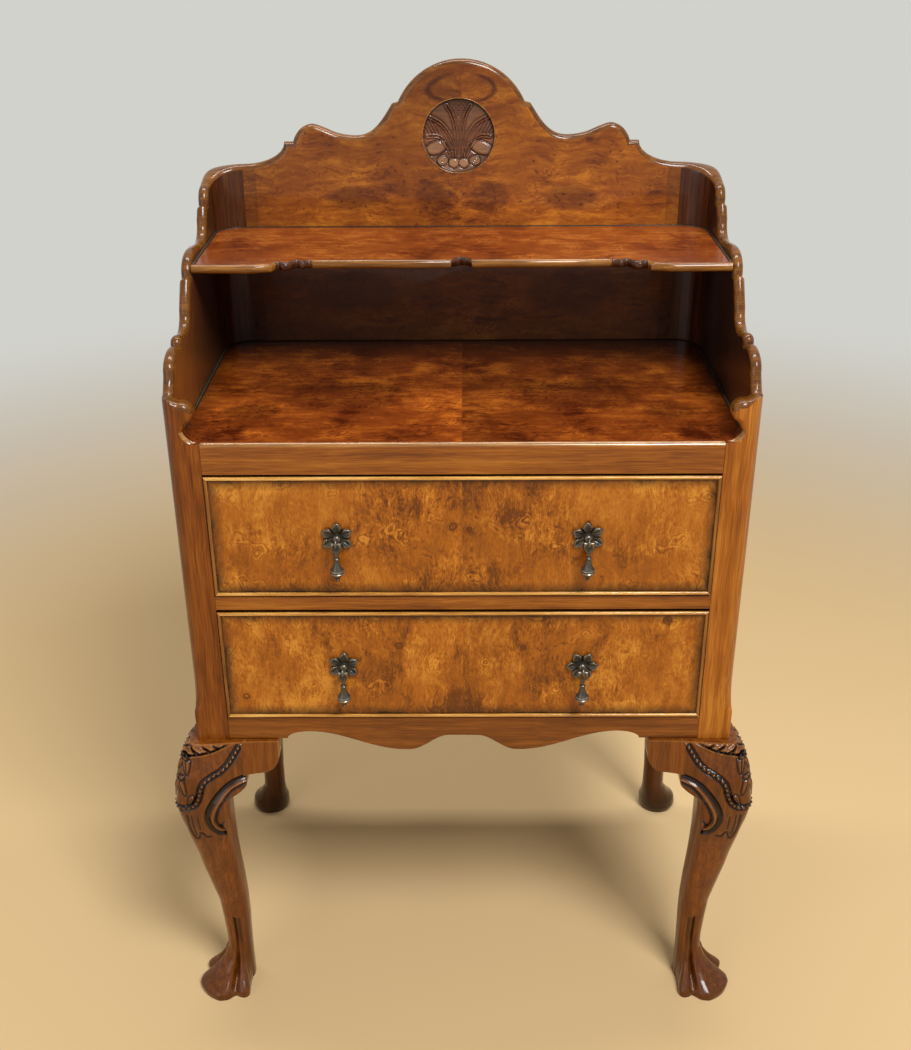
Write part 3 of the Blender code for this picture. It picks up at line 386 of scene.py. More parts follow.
# %% Walnut finishes
ALONG_X, ALONG_Y, ALONG_Z = (0.030, 1.0, 1.0), (1.0, 0.07, 1.0), (1.0, 1.0, 0.030)
# the brightest wood of the chest: honey-coloured upright plumes with a few ringed eyes
DRAWER_BURR = burr_walnut("burr_walnut_drawer_veneer", "66340A", "A45C12", "CE8A30", "5C2A0A", (1, 1, 0.20),
                          (0.42, 0.6, 0.5, 0.05, 0.62), 0.10, eyes=0.6, joint=0.05)
# redder, with a dark cloud in each half and a joint that shows from afar
TOP_BURR = burr_walnut("burr_walnut_top_veneer", "421606", "76350F", "AE5E1C", "361105", (0.2, 1, 1),
                       (0.55, 0.6, 0.35, 0.04, 0.3), 0.14, 0.91, 0.20, joint=0.19,
                       knots=(((0.105, FRONT + 0.115, 0), (1 / 0.070, 1 / 0.040, 0)),
                              ((0.185, FRONT + 0.075, 0), (1 / 0.030, 1 / 0.025, 0))))
# much like the top, a little quieter
SHELF_BURR = burr_walnut("burr_walnut_shelf_veneer", "4A1A08", "783710", "A05C22", "421706", (0.2, 1, 1),
                         (0.5, 0.6, 0.3, 0.03, 0.3), 0.16, 1.04, 0.22)
# level streaks, dark knots and one oval eye; painted light low down gives way to painted shade towards the arch and
# the corners, and a painted shadow lies in the niche under the shelf
GALLERY_BURR = burr_walnut("burr_walnut_gallery_veneer", "50220A", "844512", "AE6A1E", "431806", (0.13, 1, 0.9),
                           (0.25, 0.85, 0.32, 0.03, 0.4), 0.08, 1.17, crescent=TOP_Z + 0.2465, shaded_ends=0.200,
                           eyes=0.3, light_falloff=(TOP_Z + 0.13, TOP_Z + 0.25), niche=TOP_Z + 0.113,
                           knots=(((0.105, 0, TOP_Z + 0.144), (1 / 0.026, 0, 1 / 0.014)),
                                  ((0.028, 0, TOP_Z + 0.144), (1 / 0.020, 0, 1 / 0.017)),
                                  ((0.110, 0, TOP_Z + 0.050), (1 / 0.050, 0, 1 / 0.030))))
# dark brown rolls under a clear coat, with a long soft highlight
ROLL_WALNUT = straight_grained("walnut_rolled_edge", "40200A", "643A10", "88561E", ALONG_X, 0.18, coat=0.35, calm=0.1)
# golden lines along the rounded edges: wood rubbed every day, painted lighter where the highlight runs
NOSING_WALNUT = straight_grained("walnut_nosing_golden", "6A3E16", "90602A", "B08246", ALONG_X, 0.2, coat=0.9)
SHELF_EDGE_WALNUT = straight_grained("walnut_shelf_edge_golden", "52300E", "7E4E18", "A47030", ALONG_X, 0.2, coat=0.5)
# warm brown under a thin even shine; the apron is a shade darker, and the posts are one wood painted in shade on
# the left and lit on the right
RAIL_WALNUT = straight_grained("walnut_rail_polished", "6B3811", "8E5016", "AA6A24", ALONG_X, 0.22, coat=0.3)
APRON_WALNUT = straight_grained("walnut_apron_polished", "5A2E0E", "7C4412", "98591C", ALONG_X, 0.22, coat=0.3)
SHADED_STILE_WALNUT = straight_grained("walnut_stile_painted_shade", "54290A", "7A3F10", "98581A", ALONG_Z, 0.22,
                                     coat=0.12)
LIT_STILE_WALNUT = straight_grained("walnut_stile_painted_light", "7A430F", "9E5A17", "BE7A2A", ALONG_Z, 0.22,
                                      coat=0.2)
# the inner sides of the gallery: quiet brown with painted shade deepening towards the back; the right one, turned
# from the light, is a copy painted in shade
SIDE_WALNUT = straight_grained("walnut_side_polished", "5E2E12", "844A1E", "A2662E", ALONG_Z, calm=0.15, coat=0.3,
                               shade_span=(FRONT + 0.03, FRONT + 0.17))
SHADED_SIDE_WALNUT = straight_grained("walnut_side_shaded", "38190A", "4E2812", "643A1C", ALONG_Z, calm=0.15,
                                      coat=0.3, shade_span=(FRONT - 0.05, FRONT + 0.12))
# almost black brown, painted shade in the coves and scoops
SHADED_CORNER_WALNUT = straight_grained("walnut_corner_painted_shade", "2A1208", "43200C", "5C3212", ALONG_Z, 0.24, coat=0.3)
# thin golden frames round the drawers, painted bright above and below, where the light falls, and shaded at the sides
BEAD_WALNUT = straight_grained("walnut_bead_golden", "985F20", "CB923F", "EEBF6E", ALONG_X, 0.2, coat=0.8)
SIDE_BEAD_WALNUT = straight_grained("walnut_bead_shaded", "5A3210", "86521C", "A8702E", ALONG_Z, 0.2, coat=0.5)
# legs: dark polish and painted shade in the hollows, rubbed to amber on the high places, with painted highlights too
LEG_WALNUT = straight_grained("walnut_leg_dark_polish", "3A1C08", "703A0B", "9A5816", ALONG_Z, 0.2, "C08444", 0.32,
                              0.25)
CARVED_WALNUT = straight_grained("walnut_carved_dark", "4C2A18", "704026", "8A5636", ALONG_X, 0.3, "B48C68", 0.6)
# a near-black line of old polish and painted shade in the crease, its dusty crest lit by a painted highlight
SHADED_POLISH_LINE = straight_grained("old_shaded_polish_line", "1A120C", "221810", "2C2016", ALONG_X, 0.3, "6A6252")
# bare woods without polish: pale oak inside, stained boards behind and below
OAK = straight_grained("oak_drawer_lining", "8C6A3C", "AE8A55", "C7A672", ALONG_Y, 0.55, "C7A672", 0.0)
BACK_WOOD = straight_grained("stained_back_board", "4A2C14", "6B4522", "845A32", ALONG_Z, 0.6, "845A32", 0.0)
print(len(bpy.data.materials), "finishes so far")

# %% [markdown]
# ## Bronzed brass and steel
# The handles are cast brass, stained dark to look like old bronze. The stain stays in the hollows and is rubbed
# through on the high edges, so a painted attribute of wear mixes a bare brass tone into a dark brown metal; on the
# drop's bar and widest band it stands for a highlight too. The nuts inside the drawers are plain steel.

# %% Metals
def dull_metal(name, base, rubbed_and_lit, roughness):
    """A stained metal with cloudy patches, lighter where the mesh is painted with wear and sheen: rubbed metal and
    painted highlights.
    """
    made, tree, surface = finish(name)
    here = add(tree, "TexCoord").outputs["Object"]
    patina = add(tree, "TexNoise", {"Vector": here, "Scale": PER_MM / 3, "Detail": 4.0})
    worn_and_sheen = add(tree, "Attribute", attribute_name="worn_and_sheen")
    lift = add(tree, "Math", {0: patina, 1: 0.25}, operation="MULTIPLY")
    rubbing_and_sheen = add(tree, "Math", {0: worn_and_sheen.outputs["Fac"], 1: lift}, operation="ADD", use_clamp=True)
    mixed = add(tree, "Mix", {0: rubbing_and_sheen, 6: tone(base), 7: tone(rubbed_and_lit)}, data_type="RGBA")
    rough = add(tree, "MapRange", {"Value": patina, "To Min": roughness - 0.1, "To Max": roughness + 0.14})
    cast = add(tree, "Bump", {"Strength": 0.15, "Distance": 0.0003, "Height": patina})
    feed(tree, surface, {"Base Color": mixed, "Roughness": rough, "Normal": cast, "Metallic": 0.7})
    return made


# dark brown-grey that glints where it is rubbed
BRONZE = dull_metal("brass_stained_bronze", "24221E", "968E80", 0.28)
# plain grey with a dull shine
STEEL = dull_metal("steel_plain_nut", "6E6B66", "A8A49C", 0.42)
print(len(bpy.data.materials), "finishes")

# %% [markdown]
# ## Helpers for modelling
# An operator acts on whatever is selected, so each piece starts by letting go of everything else. Faces and edges
# are picked by where they are. A finished piece is named, given its finish, hung on its moving body, and put in the
# place of the CAD nodes that it stands for.

# %% Modelling helpers
HANDS = (("left", -1), ("right", 1))
FLAT_FACE = 0.985                                   # a flat face's normal lies at least this much along its axis
TINY = 1e-5


def begin():
    """Let go of everything, so that the next operator acts on the new piece alone."""
    if bpy.context.object and bpy.context.object.mode != "OBJECT":
        bpy.ops.object.mode_set(mode="OBJECT")
    bpy.ops.object.select_all(action="DESELECT")


def hold(*pieces):
    """Select these pieces alone, with the first one active."""
    begin()
    for piece in pieces:
        piece.select_set(True)
    bpy.context.view_layer.objects.active = pieces[0]


def block(low, high):
    """A cube primitive at its size and place."""
    begin()
    low, high = Vector(low), Vector(high)
    bpy.ops.mesh.primitive_cube_add(size=1, location=(low + high) / 2)
    piece = bpy.context.object
    piece.scale = high - low
    bpy.ops.object.transform_apply()
    return piece


def anything(middle, way):
    """The test that every face or edge passes."""
    return True


def pick(piece, faces=None, edges=None):
    """Go to edit mode with only those faces or edges selected whose middle and direction pass the test."""
    bpy.ops.object.mode_set(mode="EDIT")
    bpy.ops.mesh.select_mode(type="FACE" if faces else "EDGE")
    bpy.ops.mesh.select_all(action="DESELECT")
    bpy.ops.object.mode_set(mode="OBJECT")
    for face in piece.data.polygons if faces else ():
        face.select = bool(faces(face.center, face.normal))
    for edge in piece.data.edges if edges else ():
        a, b = (piece.data.vertices[k].co for k in edge.vertices)
        edge.select = bool(edges((a + b) / 2, (b - a).normalized()))
    bpy.ops.object.mode_set(mode="EDIT")


def face_outwards():
    """Turn every face of the piece in edit mode outwards, and leave edit mode."""
    bpy.ops.mesh.select_all(action="SELECT")
    bpy.ops.mesh.normals_make_consistent(inside=False)
    bpy.ops.object.mode_set(mode="OBJECT")


# %% Sawing and gluing
def cut(piece, point, away):
    """Saw a piece along a plane and close the cut; the side that away points to is dropped."""
    pick(piece, faces=anything)
    bpy.ops.mesh.bisect(plane_co=point, plane_no=away, use_fill=True, clear_outer=True)
    bpy.ops.object.mode_set(mode="OBJECT")


def combine(piece, other, operation):
    """Apply a Boolean and throw the tool away."""
    hold(piece)
    step = piece.modifiers.new("cut", "BOOLEAN")
    step.operation, step.object, step.solver = operation, other, "EXACT"
    bpy.ops.object.modifier_apply(modifier=step.name)
    bpy.data.objects.remove(other)


def join(piece, *others):
    """Glue loose blocks into one piece."""
    hold(piece, *others)
    bpy.ops.object.join()
    return piece


def lay_out(data):
    """Put a new curve or mesh into the scene as the one selected object."""
    piece = bpy.data.objects.new(data.name, data)
    bpy.context.collection.objects.link(piece)
    hold(piece)
    return piece


# %% Painting and placing
def paint(piece, name, values):
    """Store one number for each point, for a finish to read."""
    piece.data.attributes.new(name, "FLOAT", "POINT").data.foreach_set("value", np.asarray(values, dtype=float))


def dress(piece, finishes, choose):
    """Give a piece several finishes; choose gives each face the number of its own."""
    for material in finishes:
        piece.data.materials.append(material)
    for face in piece.data.polygons:
        face.material_index = choose(face.center, face.normal)


def settle(piece, name, material, body, slot, *nodes, smooth=35):
    """Name a finished piece, give it its finish, and hang it on its body in place of its CAD nodes."""
    hold(piece)
    bpy.ops.object.shade_smooth_by_angle(angle=math.radians(smooth))
    piece.name = piece.data.name = name
    if not len(piece.data.materials):
        piece.data.materials.append(material)
    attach(piece, body)
    if nodes:
        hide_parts(*nodes)
    print(name, len(piece.data.polygons), "faces")
    return piece


# %% [markdown]
# ## Outlines
# The shaped edges are made of few kinds of stretch: quarter ellipses at each step, S curves on the waves, and true
# arcs, and freer lines run smoothly through a few points. Small functions draw them, and one mirrors a half outline.
# A board with rolled edges is then a filled flat curve: its bevel is the roll, and a negative offset keeps the
# outline at its true size.

# %% Outline helpers
MM = 0.001


def quarter(a, b, flat_first, steps=7):
    """A quarter ellipse from a to b that leaves a level (flat_first) or upright, without its first point."""
    turns = [math.pi / 2 * k / steps for k in range(1, steps + 1)]
    shares = [(math.sin(t), 1 - math.cos(t)) if flat_first else (1 - math.cos(t), math.sin(t)) for t in turns]
    return [(a[0] + (b[0] - a[0]) * across, a[1] + (b[1] - a[1]) * up) for across, up in shares]


def ogee(a, b, steps=10):
    """An S curve from a to b, level at both ends, without its first point."""
    shares = [k / steps for k in range(1, steps + 1)]
    return [(a[0] + (b[0] - a[0]) * s, a[1] + (b[1] - a[1]) * (1 - math.cos(math.pi * s)) / 2) for s in shares]


def arc(centre, radius, start, end, steps):
    """A true arc between two angles in degrees, with both its end points."""
    turns = [math.radians(start + (end - start) * k / steps) for k in range(steps + 1)]
    return [(centre[0] + radius * math.cos(t), centre[1] + radius * math.sin(t)) for t in turns]


def flow(points, steps=6):
    """A smooth line through a few points."""
    p = np.array([points[0], *points, points[-1]], dtype=float)
    line = []
    for k in range(len(points) - 1):
        for t in np.arange(steps) / steps:
            line.append(0.5 * (2 * p[k + 1] + (p[k + 2] - p[k]) * t
                               + (2 * p[k] - 5 * p[k + 1] + 4 * p[k + 2] - p[k + 3]) * t ** 2
                               + (3 * p[k + 1] - p[k] - 3 * p[k + 2] + p[k + 3]) * t ** 3))
    return np.array(line + [p[-1]])


def eased(x, start, end):
    """Runs smoothly from 0 at start to 1 at end."""
    share = np.clip((x - start) / (end - start), 0, 1)
    return share * share * (3 - 2 * share)


def hump(distance, width):
    """A smooth rounded ridge, 1 in its middle."""
    return np.exp(-(distance / width) ** 2)


def mirrored(half):
    """A half outline with its mirror image, closed at the middle."""
    return half + [(-x, up) for x, up in reversed(half) if abs(x) > 1e-9]


# %% Boards with rolled edges
UPRIGHT, SIDEWAYS, FLAT = (math.pi / 2, 0, 0), (math.pi / 2, 0, math.pi / 2), (0, 0, 0)


def draw(curve, points):
    """A line of straight stretches through points, in a curve."""
    line = curve.splines.new("POLY")
    line.points.add(len(points) - 1)
    for point, place in zip(line.points, points):
        point.co = (*place, 1)
    return line


def rolled_board(outline, thickness, roll, turn, place):
    """A board sawn to a flat outline with both its edges rounded over, then stood up and put in place."""
    area = sum(a[0] * b[1] - b[0] * a[1] for a, b in zip(outline, outline[1:] + outline[:1]))
    outline = outline if area > 0 else outline[::-1]
    sheet = bpy.data.curves.new("outline", "CURVE")
    sheet.dimensions, sheet.fill_mode = "2D", "BOTH"
    draw(sheet, [(across, up, 0) for across, up in outline]).use_cyclic_u = True
    sheet.bevel_depth, sheet.bevel_resolution = roll, 5
    sheet.offset, sheet.extrude = -roll, thickness / 2 - roll
    lay_out(sheet)
    bpy.ops.object.convert(target="MESH")
    board = bpy.context.object
    board.rotation_euler, board.location = turn, place
    bpy.ops.object.transform_apply()
    pick(board, faces=anything)
    bpy.ops.mesh.remove_doubles(threshold=0.00002)
    face_outwards()
    return board


# %% [markdown]
# ## Gallery back
# The back of the gallery rises in two waves to a round arch. Its edge is rolled over like a bolster and catches a
# long soft highlight, with a small step where each curve meets the next. The outline is drawn as one half and
# mirrored. The lower corners are sawn square where the corner blocks take over, and a round pocket is bored for the
# carved roundel.

# %% Gallery back
BOARD_T, ROLL_R = 0.013, 0.0055
CORNER_X, CORNER_Y, INNER_COVE = 0.212, 0.248, 0.025
WING_Z, ARCH_Z, ARCH_R = TOP_Z + 0.1765, TOP_Z + 0.2057, 0.0665
ROUNDEL_AT, POCKET_R = (-0.0026, TOP_Z + 0.2028), 0.0348
GALLERY_FACE, REAR = 0.273, 0.286                   # front face of the gallery back and rear face of the chest
POCKET_DEEP, FOOT_HALF = 0.0056, 0.2367
LOW_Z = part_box("gallery_back")[0][2]


def gallery_back_half():
    """The right half of the outline, from the top of the arch down to the foot."""
    half = arc((0, ARCH_Z), ARCH_R, 90, 25, 14)
    half.append((half[-1][0] + 0.0055, half[-1][1] - 0.0015))
    half += flow((half[-1], (0.0775, TOP_Z + 0.2155), (0.0885, TOP_Z + 0.2060), (0.1010, TOP_Z + 0.2030),
                  (0.1180, TOP_Z + 0.2052), (0.1320, TOP_Z + 0.2108), (0.1432, TOP_Z + 0.2140),
                  (0.1530, TOP_Z + 0.2105), (0.1590, TOP_Z + 0.2040), (0.1620, TOP_Z + 0.1975))).tolist()[1:]
    half.append((0.1705, TOP_Z + 0.1975))
    half += quarter(half[-1], (CORNER_X, WING_Z), False)
    return half + [(CORNER_X + 0.03, WING_Z), (CORNER_X + 0.03, TOP_Z - 0.03), (0, TOP_Z - 0.03)]


back_board = rolled_board(mirrored(gallery_back_half()), BOARD_T, ROLL_R, UPRIGHT,
                          (0, FRONT + GALLERY_FACE + BOARD_T / 2, 0))
cut(back_board, (CORNER_X, 0, 0), (1, 0, 0))
cut(back_board, (-CORNER_X, 0, 0), (-1, 0, 0))
cut(back_board, (0, 0, TOP_Z), (0, 0, -1))
begin()
bpy.ops.mesh.primitive_cylinder_add(vertices=96, radius=POCKET_R, depth=POCKET_DEEP * 2, rotation=UPRIGHT,
                                    location=(ROUNDEL_AT[0], FRONT + GALLERY_FACE, ROUNDEL_AT[1]))
combine(back_board, bpy.context.object, "DIFFERENCE")
foot = block((-FOOT_HALF, FRONT + GALLERY_FACE, LOW_Z), (FOOT_HALF, FRONT + REAR, TOP_Z))
gallery = join(back_board, foot)
dress(gallery, (GALLERY_BURR, ROLL_WALNUT, SHADED_STILE_WALNUT), lambda middle, normal:
      2 if normal.y > FLAT_FACE else 1 if normal.y > -FLAT_FACE and middle.z > TOP_Z + 0.1 else 0)
settle(gallery, "rolled_gallery_back", GALLERY_BURR, "carcass", "burr_walnut", "gallery_back")

# %% [markdown]
# ## Sides
# Each side is one board from the legs to the gallery. Above the top it is sawn into three sweeping steps with the
# same rolled edge; below it is a plain panel. The rolled part is sawn square at the back, where the corner block
# carries the roll round, and runs a little into the stile in front.

# %% Sides
WING_T, WING_ROLL, STILE_T = 0.010, 0.0049, 0.018
WING_DROP = 0.0125                                  # the roll falls this much from the back to the sides
LEDGES, HUMPS, SCROLL_RISE = (0.148, 0.1068, 0.0650), (0.1256, 0.0724), 0.0388


def side_outline():
    """The stepped outline of a gallery side, from the corner block forward to the scroll."""
    high, mid, low = (TOP_Z + rise for rise in LEDGES)
    crest, nose = (TOP_Z + rise for rise in HUMPS)
    line = [(CORNER_Y + 0.02, WING_Z - WING_DROP), (CORNER_Y, WING_Z - WING_DROP)]
    line += quarter(line[-1], (0.2325, high), True) + [(0.2235, high), (0.2160, TOP_Z + 0.1365)]
    line += quarter(line[-1], (0.1970, TOP_Z + 0.1215), False)
    line += ogee(line[-1], (0.1550, crest))
    line += quarter(line[-1], (0.1290, mid), True) + [(0.1215, mid), (0.1060, TOP_Z + 0.0835)]
    line += quarter(line[-1], (0.0860, TOP_Z + 0.0688), False)
    line += ogee(line[-1], (0.0680, nose))
    line += quarter(line[-1], (0.0610, low), True)
    line += ogee(line[-1], (0.0490, TOP_Z + 0.0685))
    line += quarter(line[-1], (0.0240, TOP_Z + 0.0520), True)
    return line + [(0.0160, TOP_Z + SCROLL_RISE + 0.002), (0.010, TOP_Z + SCROLL_RISE), (0.010, TOP_Z - 0.02),
                   (CORNER_Y + 0.02, TOP_Z - 0.02)]


for hand, sign in HANDS:
    wing = rolled_board([(FRONT + y, z) for y, z in side_outline()], WING_T, WING_ROLL, SIDEWAYS,
                        (sign * (HALF_W - WING_T / 2), 0, 0))
    cut(wing, (0, FRONT + CORNER_Y, 0), (0, 1, 0))
    cut(wing, (0, 0, TOP_Z), (0, 0, -1))
    inner, outer = sorted((sign * (HALF_W - BOARD_T), sign * HALF_W))
    panel = block((inner, FRONT + STILE_T + 0.0003, LEG_H), (outer, FRONT + REAR, TOP_Z))
    side = join(wing, panel)
    # the right side's inner face is painted in shade, as it is turned from the light
    inner_wood = SIDE_WALNUT if sign < 0 else SHADED_SIDE_WALNUT
    dress(side, (inner_wood, ROLL_WALNUT, SHADED_STILE_WALNUT), lambda middle, normal:
          1 if abs(normal.x) < FLAT_FACE and middle.z > TOP_Z + 0.02 else 2 if sign * normal.x > FLAT_FACE else 0)
    settle(side, "rolled_side_" + hand, inner_wood, "carcass", "rail_walnut", "side_panel_" + hand)

# %% [markdown]
# ## Corner blocks
# Where side and back meet, a coved block carries the rolled edge round the corner while it climbs to the back. A
# flat grid is the quickest start: one direction runs round the corner, the other over the section, from the outside
# foot over the roll to the inside foot and back underneath. The grid's points are then moved to their places.

# %% Wrapped grids
def wrapped_grid(columns, rows, place):
    """A grid primitive with its points moved by place(column share, row share)."""
    begin()
    bpy.ops.mesh.primitive_grid_add(x_subdivisions=columns, y_subdivisions=rows, size=2)
    piece = bpy.context.object
    flat = np.empty(len(piece.data.vertices) * 3)
    piece.data.vertices.foreach_get("co", flat)
    flat = flat.reshape(-1, 3)
    piece.data.vertices.foreach_set("co", np.asarray(place((flat[:, 0] + 1) / 2, (flat[:, 1] + 1) / 2)).T.ravel())
    piece.data.update()
    return piece


def close_up(piece):
    """Merge the seam, close the open ends and turn every face outwards."""
    pick(piece, faces=anything)
    bpy.ops.mesh.remove_doubles(threshold=TINY)
    bpy.ops.mesh.fill_holes(sides=0)
    face_outwards()


# %% Corner blocks
AROUND, OVER = 24, 40
ROUND_OUT = 4.9                                     # how square the outer corner is: 2 would be a quarter circle


def corner_place(sign):
    """Where each point of a corner block goes."""
    def place(share, over):
        # the last row of the grid is back at the first
        over = np.where(over > OVER / (OVER + 0.5), 0, over * (OVER + 1) / OVER)
        turn = share * math.pi / 2
        ways = np.array((np.cos(turn), np.sin(turn)))
        reach_in = INNER_COVE + (BOARD_T - WING_T) * ways[0] ** 2
        squared = (np.abs(ways) ** ROUND_OUT).sum(axis=0) ** (1 / ROUND_OUT)
        reach_out = (INNER_COVE + BOARD_T) / squared
        crest = WING_Z - WING_DROP * (1 - np.sin(turn))
        # over: 0..0.3 up the outside, 0.3..0.7 over the roll, 0.7..1 down the inside
        roll = np.clip((over - 0.3) / 0.4, 0, 1) * math.pi
        wide = reach_out - reach_in
        radius = np.minimum(ROLL_R, wide / 2)
        reach = np.where(roll <= math.pi / 2, reach_out - radius * (1 - np.cos(roll)),
                         reach_in + radius * (1 + np.cos(roll)))
        straight = crest - radius - TOP_Z
        up = np.where(over < 0.3, TOP_Z + straight * over / 0.3, crest - radius + radius * np.sin(roll))
        up = np.where(over > 0.7, TOP_Z + straight * (1 - over) / 0.3, up)
        return sign * (CORNER_X + ways[0] * reach), FRONT + CORNER_Y + ways[1] * reach, up
    return place


for hand, sign in HANDS:
    block_piece = wrapped_grid(AROUND, OVER + 1, corner_place(sign))
    close_up(block_piece)

    def corner_finish(middle, normal):
        """The roll above, the cove inside, and plain wood outside."""
        outward = Vector((middle.x - sign * CORNER_X, middle.y - FRONT - CORNER_Y, 0)).dot(normal) > 0
        return 1 if normal.z > 0.12 else 2 if outward else 0

    # the cove inside takes the wood painted in shade
    dress(block_piece, (SHADED_CORNER_WALNUT, ROLL_WALNUT, SHADED_STILE_WALNUT), corner_finish)
    settle(block_piece, "coved_corner_" + hand, SHADED_CORNER_WALNUT, "carcass", "burr_walnut", "gallery_corner_" + hand)

# %% [markdown]
# ## Front stiles
# The corner posts of the front are rounded along their outer edge. The rounding stops above the leg in a lamb's
# tongue, where it runs out to a square corner, and the post ends above the top in a small rolled scroll. The body is
# a grid wrapped round the post, with a corner radius that grows with height. The scroll is a rolled board, trimmed
# to the same rounded plan.

# %% Plan of a post
STILE_W, POST_R, TONGUE_LOW, TONGUE_HIGH = 0.030, 0.016, LEG_H + 0.030, LEG_H + 0.062
POST_COLUMNS = (0, 4, 10, 26, 30, 36)               # where the five stretches of the section start and end


def post_lengths(radius):
    """The five stretches of the plan: inner side, front, rounded corner, outer side, back."""
    return STILE_T, STILE_W - radius, math.pi / 2 * radius, STILE_T - radius, STILE_W


def post_section(along, radius):
    """A point of the right-hand post's plan, at a share of the way round from the inner back."""
    lengths = post_lengths(radius)
    walked = along * sum(lengths)
    x = np.full_like(along, HALF_W - STILE_W)
    y = STILE_T - np.minimum(walked, STILE_T)
    step = walked - lengths[0]
    x = np.where(step > 0, HALF_W - STILE_W + np.minimum(step, lengths[1]), x)
    step = step - lengths[1]
    turn = np.clip(step / np.maximum(radius, 1e-6), 0, math.pi / 2)
    x = np.where(step > 0, HALF_W - radius + radius * np.sin(turn), x)
    y = np.where(step > 0, radius * (1 - np.cos(turn)), y)
    step = step - lengths[2]
    y = np.where(step > 0, radius + np.minimum(step, lengths[3]), y)
    step = step - lengths[3]
    x = np.where(step > 0, HALF_W - np.minimum(step, STILE_W), x)
    return x, y


def post_place(sign, low, high):
    """Where each point of a post between two heights goes."""
    def place(around, up):
        z = low + (high - low) * up
        ease = np.clip((z - TONGUE_LOW) / (TONGUE_HIGH - TONGUE_LOW), 0, 1)
        radius = np.maximum(POST_R * np.sqrt(1 - (1 - ease) ** 2), 0.0004)
        # stations: corners of the section fall on grid columns, so that the edges stay crisp
        knots = np.array(POST_COLUMNS) / POST_COLUMNS[-1]
        lengths = np.broadcast_arrays(*post_lengths(radius))
        marks = np.cumsum([np.zeros_like(radius), *lengths], axis=0) / np.sum(lengths, axis=0)
        along = np.zeros_like(around)
        for k in range(len(knots) - 1):
            inside = (around >= knots[k] - 1e-9) & (around <= knots[k + 1] + 1e-9)
            share = (around - knots[k]) / (knots[k + 1] - knots[k])
            along = np.where(inside, marks[k] + (marks[k + 1] - marks[k]) * share, along)
        x, y = np.vectorize(lambda a, r: post_section(np.array(a), float(r)))(along, radius)
        return sign * x, FRONT + y, z
    return place


# %% Stiles
COVE_TOP, SCROLL_ROLL = TOP_Z + 0.0126, 0.0052


def scroll_outline(sign):
    """The small scroll above a post, seen from the front."""
    inner = HALF_W - STILE_W - 0.012
    line = [(HALF_W, TOP_Z - 0.012), (HALF_W, TOP_Z + SCROLL_RISE - 0.006)]
    line += quarter(line[-1], (HALF_W - 0.006, TOP_Z + SCROLL_RISE), False)
    line += ogee(line[-1], (HALF_W - 0.0150, TOP_Z + 0.0356), 4)
    line += arc((HALF_W - 0.0172, TOP_Z + 0.0260), 0.0096, 78, 250, 14)
    line += quarter((HALF_W - 0.0165, TOP_Z + 0.0128), (HALF_W - STILE_W, TOP_Z), False)
    return [(sign * x, z) for x, z in line + [(inner, TOP_Z), (inner, TOP_Z - 0.012)]]


def post_finish(middle, normal):
    """Plain wood, golden nosing, top veneer in the cove, and the dark roll of the scroll."""
    if normal.z < 0.1 or middle.z <= TOP_Z - 0.001:
        return 0
    if middle.z > COVE_TOP:
        return 3
    return 2 if normal.y > -0.25 else 1 if normal.y > -0.88 else 0


for hand, sign in HANDS:
    post = wrapped_grid(POST_COLUMNS[-1], 90, post_place(sign, LEG_H, TOP_Z))
    close_up(post)
    scroll = rolled_board(scroll_outline(sign), STILE_T, SCROLL_ROLL, UPRIGHT, (0, FRONT + STILE_T / 2, 0))
    cut(scroll, (0, 0, TOP_Z), (0, 0, -1))
    plan = wrapped_grid(POST_COLUMNS[-1], 2, post_place(sign, TOP_Z - 0.001, TOP_Z + 0.06))
    close_up(plan)
    combine(scroll, plan, "INTERSECT")
    whole = join(post, scroll)
    # the left post is painted in shade and the right one lit
    stile_wood = SHADED_STILE_WALNUT if sign < 0 else LIT_STILE_WALNUT
    dress(whole, (stile_wood, NOSING_WALNUT, TOP_BURR, ROLL_WALNUT), post_finish)
    settle(whole, "rounded_post_" + hand, stile_wood, "carcass", "rail_walnut", "front_stile_" + hand)

# %% [markdown]
# ## Rails
# Three rails tie the posts together. The top one is rounded along its upper edge, which gives the bright line in
# front of the top, and the top veneer runs out over it. The rail between the drawers is plain. The lowest is sawn to
# a wavy apron. Each starts as a cube or an outline, and its sharp edges are eased a little, as a plane would.

# %% Rails
NOSING_R, EASED_R, APRON_ROLL = 0.0045, 0.0008, 0.0011
low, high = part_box("top_rail")
rail = block(low, high)
pick(rail, edges=lambda middle, way: middle.y < low[1] + TINY and middle.z > high[2] - TINY)
bpy.ops.mesh.bevel(offset=NOSING_R, segments=8, affect="EDGES")
bpy.ops.object.mode_set(mode="OBJECT")
dress(rail, (RAIL_WALNUT, TOP_BURR, NOSING_WALNUT), lambda middle, normal:
      1 if normal.z > 0.97 else 2 if normal.z > 0.45 else 0)
settle(rail, "rounded_top_rail", RAIL_WALNUT, "carcass", "rail_walnut", "top_rail")

low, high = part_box("divider_rail")
rail = block(low, high)
pick(rail, edges=lambda middle, way: middle.y < low[1] + TINY and abs(way.x) > 0.9)
bpy.ops.mesh.bevel(offset=EASED_R, segments=3, affect="EDGES")
settle(rail, "eased_divider_rail", RAIL_WALNUT, "carcass", "rail_walnut", "divider_rail")

